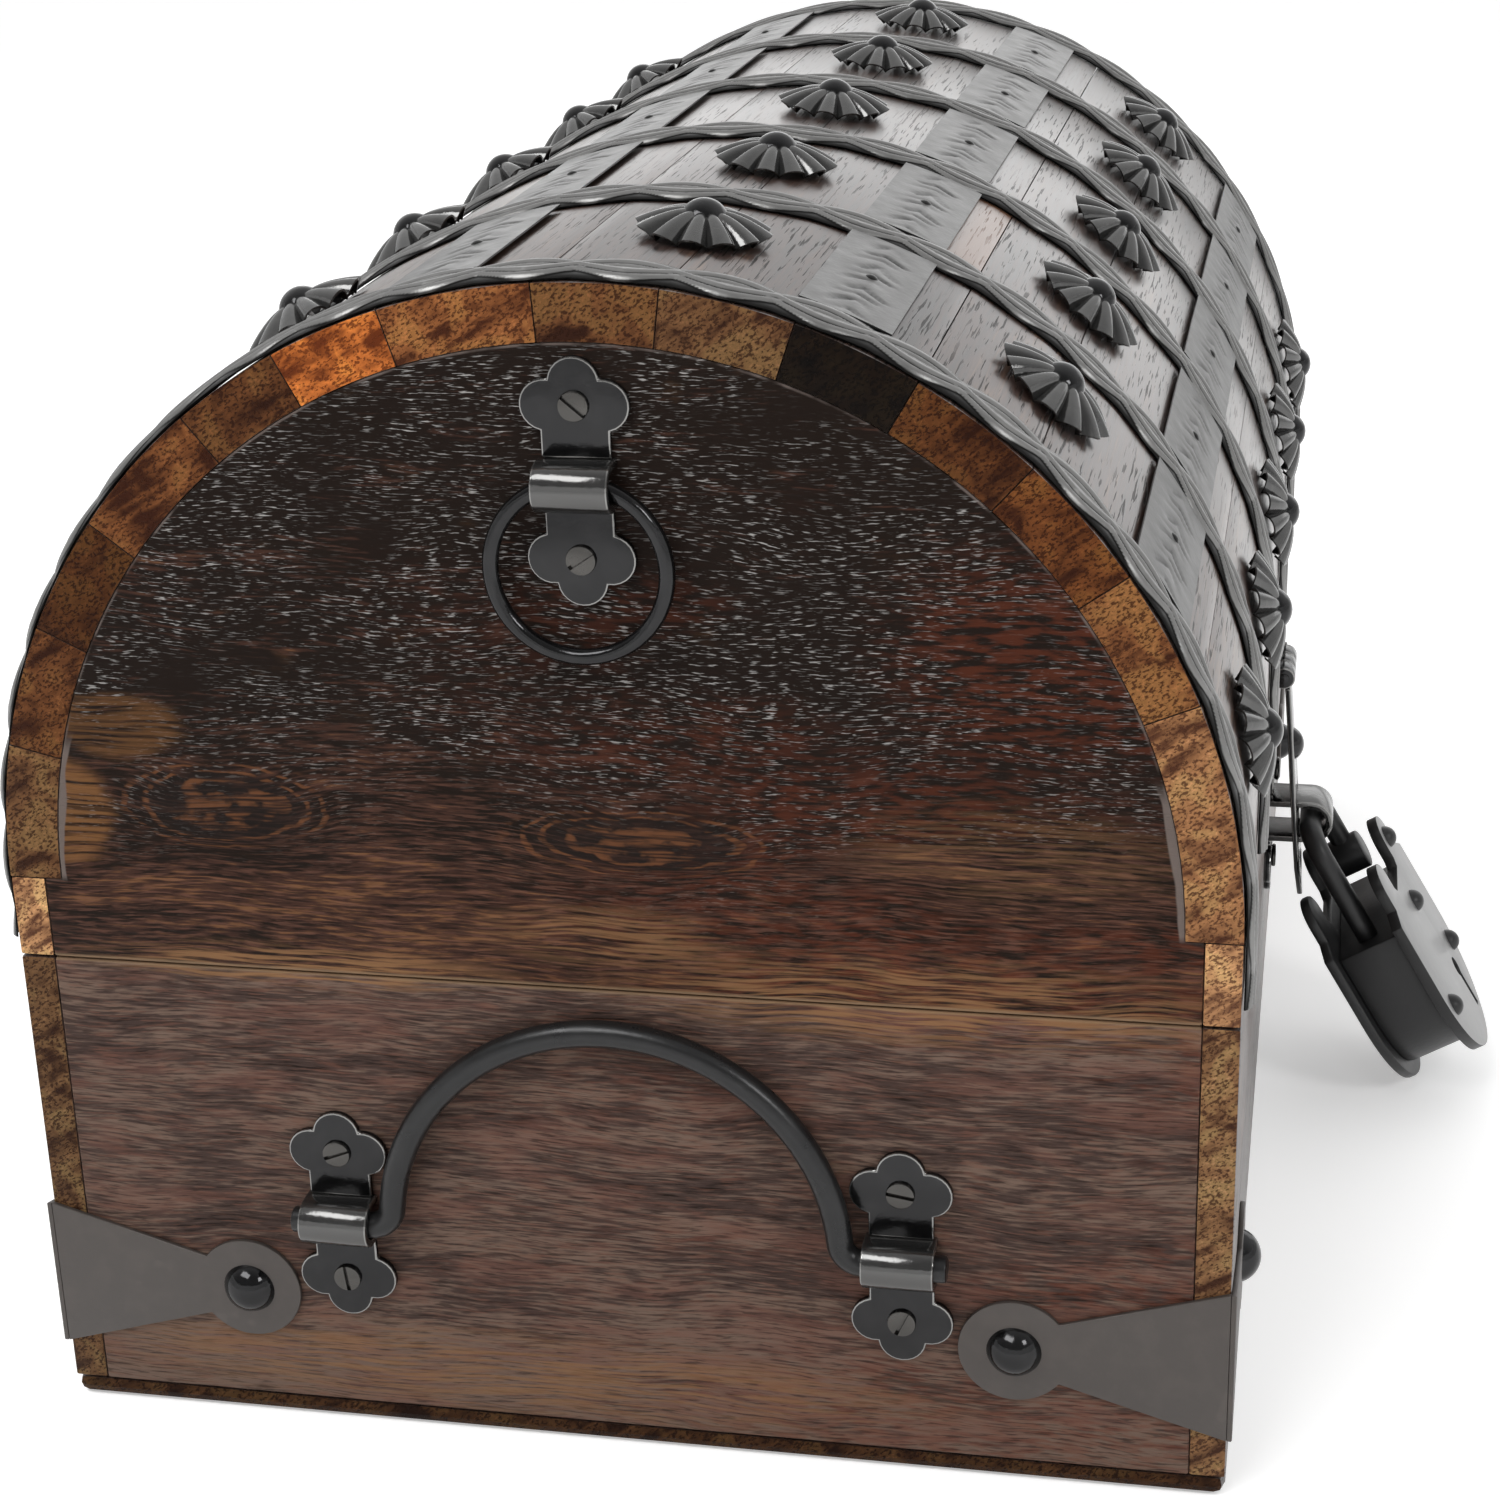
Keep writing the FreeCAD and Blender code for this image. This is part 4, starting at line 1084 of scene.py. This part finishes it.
class COFFER_OT_saddles(CofferOperator, bpy.types.Operator):
    """Makes the saddle straps of the handles and rings, and every screw"""

    bl_idname = "coffer.saddles"
    bl_label = "Saddle straps"

    def execute(self, context):
        strap = (SADDLE_LENGTH, SADDLE_WIDTH, SADDLE_TUNNEL, SADDLE_OUT / MM)
        slot_turn = 1.3
        staple = at(0, -HALF_WIDTH, STAPLE_HEIGHT)
        base_spots = [staple @ screw for screw in screw_pair(STAPLE_LENGTH)]
        lid_spots = []
        for name, side in SIDES:
            places = [on_end(side, way * BAIL_STRAP_PLACE, BAIL_HEIGHT) for way in (-1, 1)]
            ring_place = on_end(side, 0, RING_HEIGHT)
            base_spots += [place @ screw for place in places for screw in screw_pair(SADDLE_LENGTH)]
            lid_spots += [ring_place @ screw for screw in screw_pair(SADDLE_LENGTH)]
            keep_iron(join((saddle(*strap), places)), f"bail_straps_{name}", "base")
            keep_iron(join((saddle(*strap), [ring_place])), f"ring_strap_{name}", "lid")
        plate_out = HALF_WIDTH + LEAF_PLATE * MM
        rise = PLATE_SCREW_RISE * MM
        for place in (BAYS[1], BAYS[3]):
            hinge = at(place, plate_out, HINGE_HEIGHT) @ TO_BACK
            base_spots += [hinge @ at(way * HINGE_SCREW * MM, 0, -rise) for way in (-1, 1)]
            lid_spots += [hinge @ at(way * HINGE_SCREW * MM, 0, rise) for way in (-1, 1)]
        lid_spots += [at(way * HASP_SCREW * MM, -plate_out, HASP_HEIGHT + rise) for way in (-1, 1)]
        steel = metal("Screw steel", colours().screw, 0.25)
        for body, spots in (("base", base_spots), ("lid", lid_spots)):
            turned = [spot @ Matrix.Rotation(number * slot_turn, 4, "Y") for number, spot in enumerate(spots)]
            heads = join((screw_head(), turned))
            keep(heads, f"{body}_screw_heads", body, [steel], [f"{body}_screws"])
        return {"FINISHED"}


class COFFER_OT_handles(CofferOperator, bpy.types.Operator):
    """Makes the two carrying bails and the two ring pulls"""

    bl_idname = "coffer.handles"
    bl_label = "Bails and rings"

    def execute(self, context):
        radius, bend, pin, wire, stand = 51.0, 5.0, 74.28, 3.0, 1.5
        ring_radius, ring_wire, ring_drop = 18.4, 1.75, 17.4
        span = math.sqrt((radius + bend) ** 2 - bend**2)
        slope = math.degrees(math.atan2(bend, span))
        lean = Matrix.Rotation(-math.asin(stand / radius), 4, "X")
        moves = [
            flat(span - pin, 0),
            (flat(span, bend), slope - 90, 8),
            (flat(0, 0), 180 - 2 * slope, 48),
            (flat(-span, bend), slope - 90, 8),
            flat(span - pin, 0),
        ]
        black = metal("Handle iron", colours().handle, 0.3, 0.5)
        for name, side in SIDES:
            bail = tube(wire * MM, flat(pin, 0), Vector((-1, 0, 0)), moves)
            place = on_end(side, 0, BAIL_HEIGHT) @ at(0, -SADDLE_OUT, 0) @ lean
            keep_iron(join((bail, [place])), f"bail_{name}", f"bail_{name}", black)
            ring = bmesh.new()
            start = at(ring_radius * MM, 0, 0)
            bmesh.ops.create_circle(ring, cap_ends=False, radius=ring_wire * MM, segments=16, matrix=start)
            bmesh.ops.spin(
                ring, geom=ring.verts[:] + ring.edges[:], cent=(0, 0, 0), axis=(0, -1, 0), angle=2 * math.pi,
                steps=72, use_merge=True,
            )
            place = on_end(side, 0, RING_HEIGHT) @ at(0, -SADDLE_OUT, -ring_drop * MM)
            keep_iron(join((ring, [place])), f"ring_{name}", f"ring_{name}", nail_iron())
        return {"FINISHED"}


class COFFER_OT_hinges(CofferOperator, bpy.types.Operator):
    """Makes the two back hinges"""

    bl_idname = "coffer.hinges"
    bl_label = "Back hinges"

    def execute(self, context):
        places = [at(place, HALF_WIDTH + BARREL_OUT, HINGE_HEIGHT) @ TO_BACK for place in (BAYS[1], BAYS[3])]
        outer = HINGE_KNUCKLE + HINGE_PLAY
        base_knuckles = ((-HINGE_HALF, -outer), (outer, HINGE_HALF))
        lid_knuckles = ((-HINGE_KNUCKLE, HINGE_KNUCKLE),)
        for body, way, knuckles in (("base", -1, base_knuckles), ("lid", 1, lid_knuckles)):
            keep_iron(hinge_half(HINGE_HALF, knuckles, way, places), f"hinge_{body}_leaves", body)
        pin_half = HINGE_HALF + PIN_PAST
        keep_iron(join((rod(PIN_RADIUS, -pin_half, pin_half, 20), places)), "hinge_pins", "base", nail_iron())
        return {"FINISHED"}


class COFFER_OT_hasp(CofferOperator, bpy.types.Operator):
    """Makes the hasp's plate, leaf, boss and pin, and the staple"""

    bl_idname = "coffer.hasp"
    bl_label = "Hasp"

    def execute(self, context):
        boss_radius, boss_height, boss_drop = 4.5, 2.6, 22.5
        slot_half, slot_top, slot_low = 7.6, -35.5, -50.6
        right = [(3.2, 0), (3.2, -4.2), (6.7, -4.2), (6.7, -17.5), (11.5, -32.4), (11.5, -55.3), (0.8, -67.4)]
        left = [(-x, z) for x, z in reversed(right)]
        axis = at(0, -HALF_WIDTH - BARREL_OUT, HASP_HEIGHT)
        leaf_place = axis @ Matrix.Rotation(math.radians(LEAF_LEAN), 4, "X")
        outer = HASP_KNUCKLE + HASP_PLAY
        knuckles = ((-HASP_BARREL, -outer), (outer, HASP_BARREL))
        keep_iron(hinge_half(HASP_HALF, knuckles, 1, [axis]), "hasp_plate", "lid")
        pin_half = HASP_BARREL + PIN_PAST
        keep_iron(join((rod(PIN_RADIUS, -pin_half, pin_half, 20), [axis])), "hasp_pin", "lid", nail_iron())
        first, *others = [flat(*point) for point in [*right, *left]]
        corners = ((-1, slot_low), (1, slot_low), (1, slot_top), (-1, slot_top))
        slot = [flat(way * slot_half, height) for way, height in corners]
        leaf = plate(first, others, LEAF_PLATE * MM, sizes().metal_edge, [slot])
        knuckle = rod(BARREL_RADIUS, -HASP_KNUCKLE, HASP_KNUCKLE)
        keep_iron(join((leaf, [leaf_place]), (knuckle, [leaf_place])), "hasp_leaf", "hasp")
        boss_place = leaf_place @ at(0, -LEAF_PLATE * MM, -boss_drop * MM) @ OUT_FRONT
        keep_iron(join((dome(boss_radius, boss_height), [boss_place])), "hasp_boss", "hasp", nail_iron())
        staple = saddle(STAPLE_LENGTH, STAPLE_WIDTH, STAPLE_TUNNEL, (SHACKLE_OUT - HALF_WIDTH) / MM)
        keep_iron(join((staple, [at(0, -HALF_WIDTH, STAPLE_HEIGHT)])), "hasp_staple", "base")
        return {"FINISHED"}


class COFFER_OT_padlock(CofferOperator, bpy.types.Operator):
    """Makes the padlock: shackle, case, side plates and rivets"""

    bl_idname = "coffer.padlock"
    bl_label = "Padlock"

    def execute(self, context):
        # Widths and heights in millimetres, from the middle of the staple's tunnel
        wire, bend, spread, entry, eye = 3.0, 8.0, 17.0, -39.0, -22.0
        eye_radius, eye_half = 5.5, 4.5
        case_half, case_top, case_depth, centre = 25.0, -33.0, 17.4, -52.5
        half, ear, notch, plate_depth = 29.0, 6.5, 8.5, 3.0
        notch_side, horn_foot, notch_low, shoulder = -26.0, -27.0, -28.0, -30.0
        rivet_radius, rivet_height = 3.2, 2.6
        rivets = ((spread, eye), (5.0, -38.0), (-21.0, -60.0), (21.0, -60.0))
        slit = [flat(8.6, -76.5), flat(11.4, -76.5), flat(11.4, -66), (flat(10, -63.5), 299, 16)]
        edge = sizes().padlock_edge
        front_out, back_out = -case_depth / 2 * MM, (case_depth / 2 + plate_depth) * MM
        place = at(0, -SHACKLE_OUT, STAPLE_HEIGHT) @ Matrix.Rotation(math.radians(PADLOCK_TILT), 4, "X")
        black = metal("Padlock black", colours().case, 0.4, 0.2)
        grey = metal("Padlock grey", colours().padlock, 0.4, 0.6)
        moves = [
            flat(0, -bend - entry),
            (flat(bend - spread, -bend), -90, 8),
            flat(2 * (spread - bend), 0),
            (flat(spread - bend, -bend), -90, 8),
            flat(0, eye + bend),
        ]
        bow = tube(wire * MM, flat(-spread, entry), Vector((0, 0, 1)), moves)
        eye_place = place @ at(spread * MM, 0, eye * MM) @ Matrix.Rotation(math.pi / 2, 4, "Z")
        shackle = join((bow, [place]), (rod(eye_radius, -eye_half, eye_half), [eye_place]))
        keep_iron(shackle, "padlock_shackle", "padlock_shackle", black)
        shield = [flat(case_half, case_top), flat(case_half, centre), (flat(0, centre), -180, 36)]
        case = plate(flat(-case_half, case_top), shield, case_depth * MM, edge)
        case = join((case, [place @ at(0, -front_out, 0)]))
        keep(case, "padlock_case_iron", "padlock_case", [black], ["padlock_case"])
        outline = [
            flat(half, shoulder), flat(spread + ear, horn_foot), flat(spread + ear, eye),
            (flat(spread, eye), 180, 16), flat(spread - ear, notch_side), flat(notch, notch_low),
            flat(-notch, notch_low), flat(ear - spread, notch_side), flat(ear - spread, eye),
            (flat(-spread, eye), 180, 16), flat(-spread - ear, horn_foot), flat(-half, shoulder),
            flat(-half, centre), (flat(0, centre), 180, 40),
        ]
        start = flat(half, centre)
        front = plate(start, outline, plate_depth * MM, edge, [slit])
        back = plate(start, outline, plate_depth * MM, edge)
        bm = join((front, [place @ at(0, front_out, 0)]), (back, [place @ at(0, back_out, 0)]))
        bmesh.ops.recalc_face_normals(bm, faces=bm.faces[:])
        across = place.to_3x3() @ Vector((0, 1, 0))
        for face in bm.faces:
            outward = math.copysign(1, (place.inverted() @ face.calc_center_median()).y)
            face.material_index = 0 if face.normal.dot(across) * outward > 0.9 else 1
        keep(bm, "padlock_plates_iron", "padlock_case", [grey, black], ["padlock_plates"])
        heads = [place @ at(x * MM, -back_out, z * MM) @ OUT_FRONT for x, z in rivets]
        heads = join((dome(rivet_radius, rivet_height), heads))
        keep(heads, "padlock_rivet_heads", "padlock_case", [black], ["padlock_rivets"])
        return {"FINISHED"}


# Stage

FLOOR_RADIUS, FLOOR_DROP, BACKDROP_HEIGHT, FLOOR_GLOW = 16.0, 0.0004, 5.0, 0.36
FLOOR_TINTS = ((0.9, 0.9, 0.9, 1), (0.93, 0.93, 0.93, 1))
WHITE = (1, 1, 1, 1)

# Name, place, width, height and power of each lamp
LAMPS = (
    ("key light", (-1.0, 0.55, 1.5), 1.1, 0.6, 16),
    ("fill light", (-0.9, -1.1, 1.0), 0.4, 0.4, 5),
    ("back light", (1.6, -0.3, 0.6), 2.4, 0.7, 4.4),
)
LAMP_AIM = Vector((0, 0, 0.1))

# Camera of the photograph: its place, and the ways right, up and ahead in its picture
CAMERA_PLACE = (-0.759, -0.1474, 0.3907)
CAMERA_RIGHT = Vector((0.1931, -0.9807, -0.0288))
CAMERA_UP = Vector((0.362, 0.044, 0.9312))
CAMERA_AHEAD = Vector((0.912, 0.1902, -0.3636))
SENSOR, LENS, NEAREST = 36, 69.91, 0.02


def floor_material():
    """Pale matt floor that looks white to the camera and in reflections, and keeps shadows."""
    material, shader, place = start_material("Pale floor")
    feed(shader["Base Color"], place.noise((3, 3, 3), 2).blend(*FLOOR_TINTS))
    feed(shader["Roughness"], 0.8)
    feed(shader["Specular IOR Level"], 0.1)
    rays = add(material.node_tree, "ShaderNodeLightPath")
    seen = rays["Is Camera Ray"].largest(rays["Is Glossy Ray"]).largest(rays["Is Transmission Ray"])
    feed(shader["Emission Color"], WHITE)
    feed(shader["Emission Strength"], seen * FLOOR_GLOW)
    return material


class COFFER_OT_stage(CofferOperator, bpy.types.Operator):
    """Sets a pale floor, soft light, and the camera"""

    bl_idname = "coffer.stage"
    bl_label = "Stage"

    def execute(self, context):
        scene = context.scene
        lamps = [self.lamp(scene, *lamp) for lamp in LAMPS]
        self.floor(scene)
        self.air(scene)
        view = bpy.data.cameras.new("camera")
        view.sensor_width = SENSOR
        view.lens = LENS
        view.clip_start = NEAREST
        camera = bpy.data.objects.new("camera", view)
        turn = Matrix((CAMERA_RIGHT, CAMERA_UP, -CAMERA_AHEAD)).transposed().to_4x4()
        camera.matrix_world = at(*CAMERA_PLACE) @ turn
        scene.collection.objects.link(camera)
        scene.camera = camera
        scene.view_settings.view_transform = "Standard"
        return {"FINISHED"}

    def floor(self, scene):
        """A round floor with a raised rim as the backdrop."""
        bm = bmesh.new()
        low = at(0, 0, -FLOOR_DROP)
        bmesh.ops.create_circle(bm, cap_ends=True, radius=FLOOR_RADIUS, segments=96, matrix=low)
        rim = bmesh.ops.extrude_edge_only(bm, edges=bm.edges[:])["geom"]
        bmesh.ops.translate(bm, verts=verts_of(rim), vec=(0, 0, BACKDROP_HEIGHT))
        mesh = bpy.data.meshes.new("floor")
        bm.to_mesh(mesh)
        bm.free()
        mesh.materials.append(floor_material())
        floor = bpy.data.objects.new("floor", mesh)
        scene.collection.objects.link(floor)
        return floor

    def air(self, scene):
        """Soft white light from all round, stronger from behind the far end."""
        scene.world = scene.world or bpy.data.worlds.new("World")
        scene.world.use_nodes = True
        tree = scene.world.node_tree
        tree.nodes.clear()
        x, _, _ = add(tree, "ShaderNodeTexCoord")["Generated"].parts()
        inputs = {"Color": WHITE, "Strength": x.ramp(-0.6, 0.5) * 0.77 + 0.28}
        add(tree, "ShaderNodeOutputWorld", {"Surface": add(tree, "ShaderNodeBackground", inputs)[0]})

    def lamp(self, scene, name, place, wide, high, power):
        light = bpy.data.lights.new(name, "AREA")
        light.shape = "RECTANGLE"
        light.size = wide
        light.size_y = high
        light.energy = power
        lamp = bpy.data.objects.new(name, light)
        lamp.location = place
        lamp.rotation_mode = "QUATERNION"
        lamp.rotation_quaternion = (LAMP_AIM - Vector(place)).to_track_quat("-Z", "Y")
        lamp.visible_camera = False
        scene.collection.objects.link(lamp)
        return lamp


class COFFER_PT_panel(bpy.types.Panel):
    """Sizes, colours and makers of the coffer"""

    bl_idname = "COFFER_PT_panel"
    bl_label = "Coffer"
    bl_space_type = "VIEW_3D"
    bl_region_type = "UI"
    bl_category = "Coffer"

    def draw(self, context):
        layout = self.layout
        for group in (context.scene.coffer_sizes, context.scene.coffer_colours):
            column = layout.column()
            for key in group.bl_rna.properties.keys():
                if key not in ("rna_type", "name"):
                    column.prop(group, key)
        for maker in MAKERS:
            layout.operator(maker.bl_idname)


MAKERS = (
    COFFER_OT_stage,
    COFFER_OT_boards,
    COFFER_OT_staves,
    COFFER_OT_straps,
    COFFER_OT_bands,
    COFFER_OT_rosettes,
    COFFER_OT_brackets,
    COFFER_OT_saddles,
    COFFER_OT_handles,
    COFFER_OT_hinges,
    COFFER_OT_hasp,
    COFFER_OT_padlock,
)
CLASSES = (CofferSizes, CofferColours, *MAKERS, COFFER_PT_panel)


def register():
    for cls in CLASSES:
        bpy.utils.register_class(cls)
    bpy.types.Scene.coffer_sizes = bpy.props.PointerProperty(type=CofferSizes)
    bpy.types.Scene.coffer_colours = bpy.props.PointerProperty(type=CofferColours)


def unregister():
    del bpy.types.Scene.coffer_colours
    del bpy.types.Scene.coffer_sizes
    for cls in reversed(CLASSES):
        bpy.utils.unregister_class(cls)


def main():
    register()
    bpy.ops.coffer.stage()
    bpy.ops.coffer.boards()
    bpy.ops.coffer.staves()
    bpy.ops.coffer.straps()
    bpy.ops.coffer.bands()
    bpy.ops.coffer.rosettes()
    bpy.ops.coffer.brackets()
    bpy.ops.coffer.saddles()
    bpy.ops.coffer.handles()
    bpy.ops.coffer.hinges()
    bpy.ops.coffer.hasp()
    bpy.ops.coffer.padlock()


if __name__ == "__main__":
    main()
